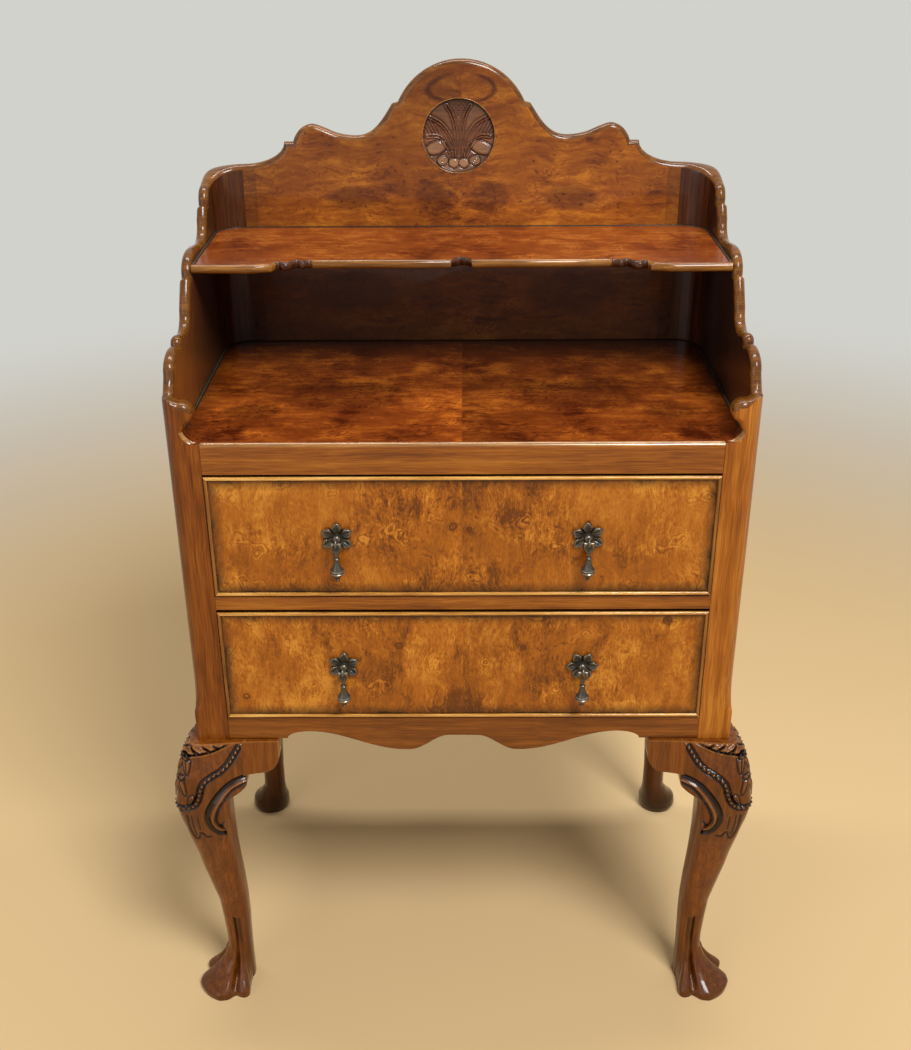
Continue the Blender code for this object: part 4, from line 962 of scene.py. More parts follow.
span, rail_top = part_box("bottom_rail")[1][0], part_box("bottom_rail")[1][2]
EAR_END = 0.174                                     # the waves run between the ears' inner ends
half = [(0, rail_top), (span + 0.01, rail_top), (span + 0.01, LEG_H), (0.95 * EAR_END, LEG_H)]
half += quarter(half[-1], (0.83 * EAR_END, LEG_H + 0.008), False)
half += ogee(half[-1], (0.31 * EAR_END, LEG_H - 0.013), 14)
half += [(0.29 * EAR_END, LEG_H - 0.013)]
half += ogee(half[-1], (0.075 * EAR_END, LEG_H + 0.0035)) + [(0, LEG_H + 0.0035)]
apron = rolled_board(mirrored(half), STILE_T, APRON_ROLL, UPRIGHT, (0, FRONT + STILE_T / 2, 0))
for sign in (-1, 1):
    cut(apron, (sign * span, 0, 0), (sign, 0, 0))
settle(apron, "wavy_bottom_rail", APRON_WALNUT, "carcass", "rail_walnut", "bottom_rail")

# %% [markdown]
# ## Top board and shelf
# The top is one veneered board. Its upper face is divided finely, and the points near the sides and the back are
# painted darker: dirt and painted shade where it meets the gallery, and a broad painted shadow of the shelf over its
# back part. A thin dark line of old polish, with painted shade in the crease and a painted highlight on its crest,
# lies along the foot of the gallery there and on the shelf. The shelf has a rolled front edge whose middle stretch
# steps back, with small scoops at each step, painted in shade, and a nick in the centre.

# %% Line of old polish and painted shade
def shaded_polish_line(z, start):
    """A thin dark line along the foot of the gallery, from one side round the back to the other: old polish and dust,
    with painted shade in the crease and a painted highlight on its crest.
    """
    inside, half_wide, half_high = 0.0013, 0.0016, 0.0006
    half = [(HALF_W - WING_T - inside, start), (HALF_W - WING_T - inside, CORNER_Y)]
    for turn in np.linspace(0, math.pi / 2, 12)[1:]:
        reach = INNER_COVE - inside + (BOARD_T - WING_T) * math.cos(turn) ** 2
        half.append((CORNER_X + reach * math.cos(turn), CORNER_Y + reach * math.sin(turn)))
    path = np.array(half + [(-x, y) for x, y in reversed(half)])
    walked = np.concatenate(([0], np.cumsum(np.hypot(*np.diff(path, axis=0).T))))

    def along(distance):
        return np.array([np.interp(distance, walked, path[:, k]) for k in (0, 1)])

    def place(share, around):
        here = share * walked[-1]
        way = along(np.minimum(here + 0.0005, walked[-1])) - along(np.maximum(here - 0.0005, 0))
        way = way / np.hypot(*way)
        off, up = half_wide * np.cos(2 * math.pi * around), half_high * np.sin(2 * math.pi * around)
        x, y = along(here)
        return x - way[1] * off, FRONT + y + way[0] * off, z + up

    line = wrapped_grid(220, 12, place)
    # the crest is painted lighter: dust and a painted highlight
    paint(line, "worn_and_sheen", [1.0 if p.co.z > z + 0.00055 else 0.0 for p in line.data.vertices])
    close_up(line)
    bpy.ops.object.shade_smooth()
    line.data.materials.append(SHADED_POLISH_LINE)
    return line


# %% Top board
low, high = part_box("top_board")
top = block(low, high)
pick(top, faces=lambda middle, normal: normal.z > 0.9)
bpy.ops.mesh.subdivide(number_cuts=48)
bpy.ops.object.mode_set(mode="OBJECT")
# dirt and painted shade along the sides and back, and a broad painted shadow of the shelf over the back part
grime_and_shade = []
for p in top.data.vertices:
    gap = min(high[0] - abs(p.co.x), high[1] - p.co.y) if p.co.z > high[2] - TINY else 1
    grime_and_shade.append(0.6 * float(1 - eased(gap, 0.002, 0.016)) + 0.4 * float(1 - eased(high[1] - p.co.y, 0.01, 0.11)))
paint(top, "grime_and_shade", grime_and_shade)
top.data.materials.append(TOP_BURR)
settle(join(top, shaded_polish_line(TOP_Z, 0.019)), "veneered_top", TOP_BURR, "carcass", "top_walnut", "top_board")

# %% Shelf
SHELF_Z, SHELF_T, SHELF_ROLL = TOP_Z + 0.117, 0.008, 0.0037
SHELF_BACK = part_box("gallery_shelf")[1][1] - FRONT
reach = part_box("gallery_shelf")[1][0] + BOARD_T - WING_T + 0.0002
half = [(0, 0.1535), (0.003, 0.1515)] + ogee((0.003, 0.1515), (0.0105, 0.1435), 6)
half += flow(((0.1335, 0.1435), (0.1362, 0.1457), (0.1390, 0.1440), (0.1420, 0.1416), (0.1450, 0.1424),
              (0.1472, 0.1456), (0.1492, 0.1440), (0.1522, 0.1396), (0.1560, 0.1366), (0.1602, 0.1364),
              (0.1634, 0.1394), (0.1656, 0.1376), (0.1682, 0.1312))).tolist()
half += ogee(half[-1], (0.1900, 0.1275), 6)
half += [(reach + 0.01, 0.1290), (reach + 0.01, SHELF_BACK + 0.01), (0, SHELF_BACK + 0.01)]
shelf = rolled_board([(x, FRONT + y) for x, y in mirrored(half)], SHELF_T, SHELF_ROLL, FLAT,
                     (0, 0, SHELF_Z - SHELF_T / 2))
for point, away in (((reach, 0, 0), (1, 0, 0)), ((-reach, 0, 0), (-1, 0, 0)),
                    ((0, FRONT + SHELF_BACK, 0), (0, 1, 0))):
    cut(shelf, point, away)
# the scoops take the wood painted in shade
dress(shelf, (SHELF_BURR, SHELF_EDGE_WALNUT, SHADED_CORNER_WALNUT), lambda middle, normal:
      0 if abs(normal.z) > FLAT_FACE else 2 if 0.135 < abs(middle.x) < 0.166 or abs(middle.x) < 0.009 else 1)
settle(shelf, "shaped_shelf", SHELF_BURR, "carcass", "top_walnut", "gallery_shelf")
join(shelf, shaded_polish_line(SHELF_Z, 0.1335))

# %% [markdown]
# ## Drawer fronts and cockbeads
# Each front is a veneered board with a thin rounded bead let in all round, standing a little proud. The bead is made
# as a joiner's frame: a rectangle inset once, its middle taken out, the ring drawn forward, and its two front edges
# rounded over. Inside the bead the board is painted darker, on its inset ring. Behind its front the bead is painted in
# shadow, as the rails keep the light from it there, and its upright sides take a shaded copy of its wood.

# %% Drawers
BEAD_W, BEAD_IN, BEAD_OUT = 0.003, 0.0082, 0.0023   # the bead's width, and how far it lies in and stands out
BEAD_SEAT, BEAD_ROUND = 0.0085, 0.00145             # how deep the board is cut back for it, and its rounding
DARK_RINGS = (0.0035, 0.007)                        # widths of the two rings inside the bead that are painted darker
for drawer in ("upper", "lower"):
    low, high = (Vector(corner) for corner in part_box(drawer + "_drawer_front"))
    front = block(low + Vector((BEAD_W, 0, BEAD_W)), high - Vector((BEAD_W, 0, BEAD_W)))
    pick(front, faces=lambda middle, normal: normal.y < -0.9)
    for width in DARK_RINGS:
        bpy.ops.mesh.inset(thickness=width, depth=0)
    bpy.ops.object.mode_set(mode="OBJECT")
    gaps = [min(high.x - BEAD_W - abs(p.co.x), p.co.z - low.z - BEAD_W, high.z - BEAD_W - p.co.z)
            if p.co.y < low.y + TINY else 1 for p in front.data.vertices]
    paint(front, "grime_and_shade", [1.0 if gap < 0.001 else 0.65 if gap < 0.005 else 0.0 for gap in gaps])
    rear = block(low + Vector((0, BEAD_SEAT, 0)), high)
    settle(join(front, rear), "veneered_front_" + drawer, DRAWER_BURR, drawer + "_drawer", "burr_walnut",
           drawer + "_drawer_front")
    low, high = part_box(drawer + "_drawer_cockbead")
    begin()
    bpy.ops.mesh.primitive_plane_add(size=1, location=(0, low[1] + BEAD_IN + BEAD_OUT, (low[2] + high[2]) / 2),
                                     rotation=UPRIGHT)
    bead = bpy.context.object
    bead.scale = (high[0] - low[0], high[2] - low[2], 1)
    bpy.ops.object.transform_apply()
    pick(bead, faces=anything)
    bpy.ops.mesh.inset(thickness=BEAD_W, depth=0)
    bpy.ops.mesh.delete(type="FACE")
    bpy.ops.mesh.select_all(action="SELECT")
    for forward in (BEAD_IN, BEAD_OUT):
        bpy.ops.mesh.extrude_region_move(TRANSFORM_OT_translate={"value": (0, -forward, 0)})
    face_outwards()
    pick(bead, edges=lambda middle, way: middle.y < low[1] + TINY and (abs(way.x) > 0.999 or abs(way.z) > 0.999))
    bpy.ops.mesh.bevel(offset=BEAD_ROUND, segments=5, affect="EDGES")
    bpy.ops.object.mode_set(mode="OBJECT")
    # behind its front the bead is painted in shadow, and its upright sides take the shaded bead wood
    paint(bead, "grime_and_shade", [0.97 if p.co.y > low[1] + 0.002 else 0.0 for p in bead.data.vertices])
    dress(bead, (BEAD_WALNUT, SIDE_BEAD_WALNUT), lambda middle, normal: 1 if abs(middle.x) > 0.1 else 0)
    settle(bead, "cockbead_" + drawer, BEAD_WALNUT, drawer + "_drawer", "bead_walnut", drawer + "_drawer_cockbead")

# %% [markdown]
# ## The form of a front leg
# A cabriole leg swings out at the knee, in at the ankle and out again at the toes. It is worked here in millimetres
# from the two outer planes of the chest: u goes in from the side, v from the front. At each height three numbers
# give its section: how far it stands out, where its inner faces are, and how square it is. The two outer faces fall
# away towards the ears. The toes are added to the ankle's radius, with hollows between them that run up the ankle.

# %% Leg form
LEVELS = (41, 58, 83, 108, 135, 162, 182, 203, 231, 241, 251, 261, 271, 283, 298, 307, 313)
STANDS_OUT = (-3.6, -3.7, -2.2, -0.4, 4.6, 9.7, 12.7, 17.0, 22.4, 23.8, 24.6, 24.4, 23.6, 21.4, 16.2, 11.5, 7.0)
INNER_LEVELS = (41, 58, 83, 108, 135, 162, 182, 203, 231, 245, 250, 254, 257, 262, 270)
INNER_FACE = (28.4, 28.6, 29.2, 29.0, 28.0, 26.5, 25.6, 25.2, 25.2, 25.6, 26.4, 29.5, 36.5, 42.8, 44.0)
SQUARENESS = ((41, 160, 220, 250, 283, 313), (2.6, 3.0, 3.4, 4.0, 5.0, 6.0))
TOE_TURNS = (0, 20, 30, 38, 42, 48, 54, 60, 64, 70, 80, 95, 180)   # degrees from the corner's own direction
TOE_REACH = (46.0, 45.5, 42.0, 36.0, 34.8, 37.0, 38.0, 37.0, 34.0, 24.5, 16.5, 12.6, 12.0)
TOE_RISE = ((0, 5.5, 7.5, 11, 16, 22, 30, 42), (0.985, 1.0, 0.97, 0.83, 0.61, 0.39, 0.17, 0))   # height, share
FRONT_SHARE, BACK_SHARE = 0.36, 0.14                # of the way round: each outer face, each inner face


def through(x, stations, values, soft=3.0):
    """Follows a list of stations, with the kinks between them smoothed over."""
    return np.mean([np.interp(x + shift, stations, values) for shift in np.linspace(-soft, soft, 7)], axis=0)


def stands_out(inward, z):
    """How far the outer face stands out of the carcass, falling away towards the ear."""
    corner = through(z, LEVELS, STANDS_OUT)
    swell = (1 + np.cos(math.pi * np.clip((inward + 5) / 70, 0, 1))) / 2
    return corner + ((3.0 + (corner - 3.0) * swell) - corner) * eased(z, 225, 262)


def leg_form(around, z):
    """The bare leg's surface; around runs over the front, the side and the two inner faces."""
    turn = np.mod(around, 1.0)
    edge = (0, FRONT_SHARE, 2 * FRONT_SHARE, 2 * FRONT_SHARE + BACK_SHARE, 1)
    a = np.interp(turn, edge, (1, -1, -1, 1, 1))
    b = np.interp(turn, edge, (-1, -1, 1, 1, -1))
    power = np.interp(z, *SQUARENESS)
    power = power + (26 - power) * eased(z, 250, 262) * (a * b < 0)      # square where the ears join on
    shrink = (np.abs(a) ** power + np.abs(b) ** power) ** (-1 / power)
    out, inner = through(z, LEVELS, STANDS_OUT), through(z, INNER_LEVELS, INNER_FACE, 1.2)
    centre, half = (inner - out) / 2, (inner + out) / 2
    u, v = centre + half * a * shrink, centre + half * b * shrink
    front = np.where(v < centre, centre + (v - centre) * (stands_out(u, z) + centre) / half, v)
    side = np.where(u < centre, centre + (u - centre) * (stands_out(v, z) + centre) / half, u)
    u, v = side, front
    # toes: a broad one out of the corner and a narrower one to each side
    way = np.arctan2(b, a)
    off = np.degrees(np.abs((way + 0.75 * math.pi + math.pi) % (2 * math.pi) - math.pi))
    reach = through(off, TOE_TURNS, TOE_REACH, 1.5) - 12
    web = hump(off - 38, 5)
    spread = through(z * (1 + 0.5 * web), *TOE_RISE, 0.6)
    groove = 1.7 * hump(off - 38, 5.5) * eased(z, 90, 84) * (0.3 + 0.7 * eased(z, 4, 16))
    groove = groove + 0.8 * hump(off - 69, 4) * eased(z, 90, 84)
    finger = hump(off - 54, 7) * eased(z, 98, 80) * eased(z, 3, 12)
    recess = 1.3 * eased(off, 34, 37) * (1 - eased(off, 66, 69)) * eased(z, 87.5, 85.5) * eased(z, 36, 62)
    grow = spread * reach - groove + finger - recess
    # the grooves between the toes and the bottom of the foot are painted darker
    hollow = np.clip((0.22 * groove + 0.45 * recess) * eased(z, 1, 8) + 0.4 * (1 - eased(z, 1.5, 5)), 0, 1)
    return u + np.cos(way) * grow, v + np.sin(way) * grow, z, hollow

# %% [markdown]
# ## The carving on the knee
# A rope of beads runs down from the ear and round to the corner. Under it a C-scroll curls against the inner side
# and ends in a small ball, a chain of husks hangs down the corner, and a leaf lies below. A carver would cut it with
# gouges; here a height is added to the bare surface. Each stroke is a smooth line through a few points, and the
# height depends on the distance from it: a ridge, a groove, or beads along a ridge. Both outer faces carry the same
# carving, mirrored about the corner.

# %% Knee carving
def stroke(s, z, points):
    """Distance from a smooth line, and how far along it the nearest place is."""
    line = flow(points)
    best, along, walked = np.full(s.shape, 1e9), np.zeros(s.shape), 0.0
    for a, b in zip(line[:-1], line[1:]):
        way = b - a
        length = max(np.hypot(*way), 1e-6)
        share = np.clip(((s - a[0]) * way[0] + (z - a[1]) * way[1]) / length ** 2, 0, 1)
        gap = np.hypot(s - a[0] - share * way[0], z - a[1] - share * way[1])
        along = np.where(gap < best, walked + share * length, along)
        best = np.minimum(best, gap)
        walked += length
    return best, along


# strokes in millimetres: inwards from the corner planes, up from the floor
ROPE = ((45.4, 311.9), (40.3, 309.1), (36.0, 302.7), (31.7, 295.7), (28.3, 291.2), (21.7, 285.9), (13.8, 282.3),
        (6.3, 277.3), (2.7, 270.7), (0.5, 262.4), (-3.4, 254.7), (-8.8, 250.6), (-14.5, 249.2), (-24, 249))
SCROLL_CHANNEL = ((46.4, 274.3), (34.9, 272.6), (26.0, 268.7), (17.7, 260.8), (11.0, 251.8), (7.3, 243.9),
                  (5.8, 233.3), (8.2, 223.7), (13.2, 216.9), (18.2, 213.4), (25.5, 211.8))
SCROLL_RIDGE = ((46.4, 270.6), (31.9, 267.0), (22.8, 259.8), (15.6, 249.6), (12.0, 242.0), (10.4, 233.3),
                (12.3, 226.3), (16.0, 220.9), (21.5, 218.0))
SCROLL_INNER = ((46.4, 267.4), (33.0, 263.0), (25.2, 256.0), (18.8, 247.0), (15.2, 239.4), (13.9, 233.3),
                (15.2, 227.8), (17.6, 223.6))
HUSKS = (((-9.7, 297.3), (-9.8, 286.5), 3.6), ((-16.5, 277.5), (-12.6, 264.6), 3.4), ((-6.0, 262), (-10, 254.5), 2.4))
BEADS = ((-9.6, 301.5, 2.6), (-15.0, 281.9, 2.3), (22.8, 223.4, 4.2))
CURLS = (((-10, 302), (-3, 303.5), (6, 304.5), (15, 306), (24, 309), (32, 312)), ((-6, 311), (-3, 307), (2, 304.8)),
         ((4, 312), (7, 309), (12, 306.5)), ((14, 312), (16, 310), (20, 308)), ((-14, 309), (-11, 305), (-6, 303)))
LEAF = ((6.1, 211), (2.5, 210), (-0.5, 214.5), (-2.8, 216.1), (-4.6, 209.5), (-7.0, 207.4), (-9.6, 209.8),
        (-12.1, 218), (-12.9, 228), (-13.2, 240))
VEINS = (((-9, 240), (-8.5, 226), (-7.2, 213)), ((-3, 238), (-2.8, 230), (-2.6, 221)))


def knee_carving(s, z):
    """Height, dirt with painted shade, and wear with painted highlights of the carving, at s inward from the corner
    planes and z above the floor.
    """
    height, dirt, wear = np.zeros(s.shape), np.zeros(s.shape), np.zeros(s.shape)
    off, along = stroke(s, z, ROPE)
    beads = 0.5 + 0.5 * np.cos(2 * math.pi * along / 4.8)
    height += (0.3 + 1.5 * beads) * hump(off, 1.5) - 1.4 * hump(off - 2.8, 1.0)
    dirt += 1.1 * hump(off - 2.7, 1.1) + 0.9 * hump(off, 1.8) * (1 - beads)
    wear += 0.9 * hump(off, 1.0) * beads
    off, along = stroke(s, z, SCROLL_CHANNEL)
    height -= 2.6 * hump(off, 2.6)
    dirt += 1.1 * hump(off, 2.7)
    wear += 0.35 * hump(off - 4.2, 0.6)
    off, along = stroke(s, z, SCROLL_RIDGE)
    height += 1.5 * hump(off, 1.0)
    dirt -= 0.6 * hump(off, 0.8)
    wear += 0.3 * hump(off, 0.6)
    off, along = stroke(s, z, SCROLL_INNER)
    height -= 1.8 * hump(off, 1.2)
    dirt += hump(off, 1.3)
    for top, foot, wide in HUSKS:
        off, along = stroke(s, z, (top, foot))
        share = np.clip(along / np.hypot(top[0] - foot[0], top[1] - foot[1]), 0, 1)
        broad = wide * np.sqrt(np.clip(1.05 - share, 0.05, 1)) * 0.9
        height += 1.7 * hump(off, broad * 0.75) - 0.9 * hump(off - broad - 1.0, 0.8) - 0.9 * hump(off, 0.5)
        dirt += 0.7 * hump(off - broad - 0.9, 0.8) + 0.8 * hump(off, 0.5)
        wear += 0.6 * hump(off - 0.5 * broad, 0.8)
    for x, up, radius in BEADS:
        off = np.hypot(s - x, z - up)
        height += 0.75 * radius * np.sqrt(np.clip(1 - (off / radius) ** 2, 0, 1))
        height -= 0.9 * hump(off - radius - 0.6, 0.8)
        dirt += 0.8 * hump(off - radius - 0.5, 0.8)
        wear += 0.6 * hump(off, radius * 0.5)
    for curl in CURLS:
        off, along = stroke(s, z, curl)
        height += 1.5 * hump(off - 1.6, 1.1) - 1.5 * hump(off, 0.8)
        dirt += 1.0 * hump(off, 0.9)
        wear += 0.7 * hump(off - 1.6, 0.8)
    off, along = stroke(s, z, LEAF)
    height -= 1.4 * hump(off, 1.2)
    dirt += 0.9 * hump(off, 1.1)
    for vein in VEINS:
        off, along = stroke(s, z, vein)
        height -= 0.9 * hump(off, 0.8)
        dirt += 0.7 * hump(off, 0.7)
    return height, np.clip(dirt, 0, 1), np.clip(wear - dirt, 0, 1)

# %% [markdown]
# ## Front legs and their ears
# The leg is a grid wrapped round the form, fine on the knee and coarser on the shank. The carving is added along the
# surface's own outward direction, which two neighbouring points give. The ears beside each knee carry the same
# outer face on to their rounded tips.

# %% Front legs
LEG_TOP = LEG_H / MM - 0.3


def leg_surface(around, z):
    """The carved leg in millimetres, with its dirt and painted shade, and its wear and painted highlights."""
    u, v, z, hollow = leg_form(around, z)
    du, dv = leg_form(around + 0.0008, z)[:2]
    eu, ev, ez = leg_form(around, z + 0.3)[:3]
    one = np.array((du - u, dv - v, np.zeros_like(z)))
    two = np.array((eu - u, ev - v, ez - z))
    out = np.cross(two.T, one.T)
    out /= np.maximum(np.linalg.norm(out, axis=1), 1e-9)[:, None]
    on_front, on_side = around <= FRONT_SHARE, (around > FRONT_SHARE) & (around <= 2 * FRONT_SHARE)
    inward = np.where(on_front, u, v)
    height, dirt, wear = knee_carving(inward, z)
    carved = (on_front | on_side) * eased(z, 200, 206) * (1 - eased(z, 308.8, 311.6))
    place = np.array((u, v, z)).T + out * (height * carved)[:, None]
    place[:, 2] = np.minimum(place[:, 2], LEG_TOP)
    # a pale line just under the top edge: wear and a painted highlight
    edge = 0.5 * hump(z - LEG_TOP + 0.9, 0.7) * (z < LEG_TOP - 0.05) * (on_front | on_side)
    # knee and foot are darker than the shank
    darkening = np.maximum((0.20 + 1.4 * dirt) * carved, 0.32 * (1 - eased(z, 15, 85)))
    return place, np.maximum(darkening, hollow), wear * carved + edge


for hand, sign in HANDS:
    marks = {}

    def place(around, up):
        z = np.interp(up, (0, 0.15, 0.40, 1), (0, 46, 196, LEG_TOP))
        spots, marks["dirt"], marks["wear"] = leg_surface(around, z)
        return sign * (HALF_W - spots[:, 0] * MM), FRONT + spots[:, 1] * MM, spots[:, 2] * MM

    leg = wrapped_grid(250, 300, place)
    paint(leg, "grime_and_shade", marks["dirt"] * 0.9)
    paint(leg, "worn_and_sheen", marks["wear"])
    close_up(leg)
    settle(leg, "carved_leg_" + hand, LEG_WALNUT, "carcass", "leg_walnut", "front_leg_" + hand, smooth=60)

# %% Ears
EAR_START, EAR_TIP, EAR_LOW, EAR_BACK, EAR_ROUND = 41.0, 76.0, 275.0, 15.0, 1.6
EAR_TURNS = (0, 0.45, 0.6, 0.9, 1)                  # face, underside, back, top
EAR_CURVE, EAR_RISE = 58.4, 22.5                    # where the lower edge starts to rise, and by how much


def ear_low(inward):
    """The lower edge of an ear: level under the knee, then a quarter ellipse up to the tip."""
    share = np.clip((inward - EAR_CURVE) / (EAR_TIP - EAR_CURVE), 0, 1)
    return EAR_LOW + EAR_RISE * (1 - np.sqrt(1 - share ** 2))


def ear_surface(along, around):
    """The ear's skin: down its face, under it, up its back and over its top."""
    inward = EAR_START + (EAR_TIP - EAR_START) * along
    low = ear_low(inward)
    share = np.interp(around, EAR_TURNS, (0, 1, 1, 0, 0))
    top = LEG_TOP - 0.25 * (1 - eased(inward, 44.2, 45.2))        # just under the leg's own top where it laps in
    z = top - (top - low) * share
    face = -stands_out(inward, z)
    soft = EAR_ROUND * (1 - np.sqrt(1 - np.clip(1 - (z - low) / EAR_ROUND, 0, 1) ** 2))
    soft = soft + 1.2 * np.clip((along - 0.96) / 0.04, 0, 1) ** 2
    soft = soft + 0.15 * (1 - eased(inward, 43.5, 44.5))          # just under the leg's own face where it laps in
    back = np.interp(around, EAR_TURNS, (0, 0, 1, 1, 0))
    return inward, (face + soft) * (1 - back) + EAR_BACK * back, z


for hand, sign in HANDS:
    for end, far in (("front_leg_front", 0), ("front_leg_side", 0), ("back_leg_side", REAR)):
        def place(along, around):
            inward, deep, z = ear_surface(along, around)
            u, v = (inward, deep) if end == "front_leg_front" else (deep, inward)
            y = FRONT + v * MM if not far else FRONT + far - v * MM
            return sign * (HALF_W - u * MM), y, z * MM

        def from_rim(spot):
            """How far a point lies from the ear's lower, inner and upper edge, painted lighter as wear and a painted
            highlight.
            """
            z = spot.z / MM
            if z > LEG_TOP - 0.05:
                return 9.0
            deep = (FRONT + far - spot.y) if far else (spot.y - FRONT)
            inward = (HALF_W - abs(spot.x) if end == "front_leg_front" else deep) / MM
            return min(z - float(ear_low(inward)), EAR_TIP - inward, LEG_TOP - 0.3 - z)

        ear = wrapped_grid(60, 110, place)
        # the rim is painted lighter: wear and a painted highlight
        paint(ear, "worn_and_sheen", 0.7 * hump(np.array([from_rim(p.co) for p in ear.data.vertices]), 1.1))
        close_up(ear)
        settle(ear, end + "_ear_carved_" + hand, LEG_WALNUT, "carcass", "leg_walnut", end + "_ear_" + hand, smooth=40)

# %% [markdown]
# ## Back legs
# The back legs are plain: a square head, a slim round shank and a pad foot that turns out and back. The same wrapped
# grid does it, with a centre, a half width and a squareness for each height.

# %% Back legs
PAD_LEVELS = (0, 6, 16, 26, 40, 70, 134, 198, 253, 275, 298, 313)
PAD_U = (8.5, 8.5, 9.5, 13.0, 16.5, 17.0, 16.0, 16.0, 17.0, 19.5, 21.0, 22.0)
PAD_V = (-6, -6, -4, 1, 5, 7, 9, 12, 15, 19.5, 21.0, 22.0)
PAD_HALF = (19.5, 22.2, 21.5, 16.5, 12.5, 12.2, 15.5, 19.2, 23.0, 24.5, 23.0, 22.0)
PAD_POWER = ((0, 70, 134, 198, 260, 313), (2.0, 2.0, 2.3, 3.2, 5.0, 7.0))
for hand, sign in HANDS:
    def place(around, up):
        z = np.interp(up, (0, 0.35, 1), (0, 42, LEG_TOP))
        way = 2 * math.pi * around
        power = np.interp(z, *PAD_POWER)
        shrink = (np.abs(np.cos(way)) ** power + np.abs(np.sin(way)) ** power) ** (-1 / power)
        half = through(z, PAD_LEVELS, PAD_HALF, 2.0) * shrink
        u = through(z, PAD_LEVELS, PAD_U, 2.0) + half * np.cos(way)
        v = through(z, PAD_LEVELS, PAD_V, 2.0) + half * np.sin(way)
        return sign * (HALF_W - u * MM), FRONT + REAR - v * MM, z * MM
    leg = wrapped_grid(72, 110, place)
    # painted darker towards the floor
    paint(leg, "grime_and_shade", [0.85 - 0.43 * float(eased(p.co.z / MM, 8, 75)) for p in leg.data.vertices])
    close_up(leg)
    settle(leg, "plain_leg_" + hand, LEG_WALNUT, "carcass", "leg_walnut", "back_leg_" + hand, smooth=50)

# %% [markdown]
# ## Carved roundel
# In the arch sits a small dished disc, carved with a spray of leaves that opens like a fan from two little discs at
# its foot. It is a polar grid, and as on the knees every vein and leaf adds to its height. The pattern is the same to
# left and right of the middle, so it only needs drawing once. Distances are shares of the disc's radius.

# %% Roundel carving
STEMS = (((0.05, -0.55), (0.07, -0.2), (0.09, 0.15), (0.18, 0.53), (0.33, 0.80)),
         ((0.12, -0.53), (0.17, -0.22), (0.27, 0.03), (0.49, 0.31), (0.80, 0.49)),
         ((0.18, -0.55), (0.28, -0.36), (0.41, -0.15), (0.60, -0.02), (0.86, -0.03)))
CURLED = 0.45                                       # where the outer disc lies, which has a scroll cut into it
# the bigger leaf and the two discs at the foot of the fan: middle, half axes, tilt in degrees
DISCS = ((0.61, -0.33, 0.33, 0.18, -18), (CURLED, -0.67, 0.15, 0.13, 0), (0.14, -0.74, 0.14, 0.14, 0))


def roundel_carving(x, z):
    """Height in millimetres of the carved spray, and the dirt and painted shade in its hollows."""
    side, height, dirt = np.abs(x), np.zeros(x.shape), np.zeros(x.shape)
    gaps = []
    for stem in STEMS:
        off, along = stroke(side, z, stem)
        gaps.append(off)
        height += 0.7 * hump(off - 0.035, 0.018) - 0.7 * hump(off, 0.014) - 0.4 * hump(off - 0.075, 0.018)
        dirt += 0.7 * hump(off, 0.016) + 0.55 * hump(off - 0.075, 0.018)
    above = z > np.interp(side, [p[0] for p in STEMS[2]], [p[1] for p in STEMS[2]]) + 0.08
    below = z < np.interp(side, [p[0] for p in STEMS[1]], [p[1] for p in STEMS[1]]) - 0.08
    ribs = 0.5 + 0.5 * np.cos(2 * math.pi * (side * 0.9 - z * 0.5) / 0.085)
    height -= 0.8 * (1 - ribs) * (above & below)
    dirt += 0.9 * (1 - ribs) ** 2 * (above & below)
    fan = side < np.interp(z, (-0.55, 0.15, 0.53, 0.80), (0.0, 0.04, 0.12, 0.26))
    lattice = np.minimum(np.abs(((x + z) / 0.13) % 1 - 0.5), np.abs(((x - z) / 0.13) % 1 - 0.5))
    crossed = 0.7 * hump(0.5 - lattice, 0.12) * fan * (z > 0.2)
    height -= crossed
    dirt += crossed
    petal = np.minimum(gaps[0], gaps[1])
    outer = z > np.interp(side, (0.19, 0.55, 0.76), (-0.12, 0.38, 0.50))
    height += 0.9 * np.clip(petal / 0.16, 0, 1) ** 0.7 * outer * (~fan)
    for px, pz, long, short, tilt in DISCS:
        c, s = math.cos(math.radians(tilt)), math.sin(math.radians(tilt))
        across, up = (side - px) * c + (z - pz) * s, -(side - px) * s + (z - pz) * c
        off = np.sqrt((across / long) ** 2 + (up / short) ** 2)
        height += 1.3 * np.clip(2.6 * (1 - off), 0, 1) ** 0.6 - 0.6 * hump(off - 1.08, 0.1)
        dirt += 1.0 * hump(off - 1.1, 0.12)
        if px == CURLED:
            curl = np.cos(5 * math.pi * off + np.arctan2(up, across))
            height += 0.4 * curl * (off < 1)
            dirt += 0.8 * np.clip(-curl, 0, 1) ** 3 * (off < 1)
    return height, np.clip(dirt, 0, 1)


# %% Roundel
ROUNDEL_R, ROUNDEL_DEEP, RIM_R = POCKET_R - 0.0001, 0.0045, 0.0005
ROUNDEL_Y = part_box("carved_roundel")[0][1]
marks = {}


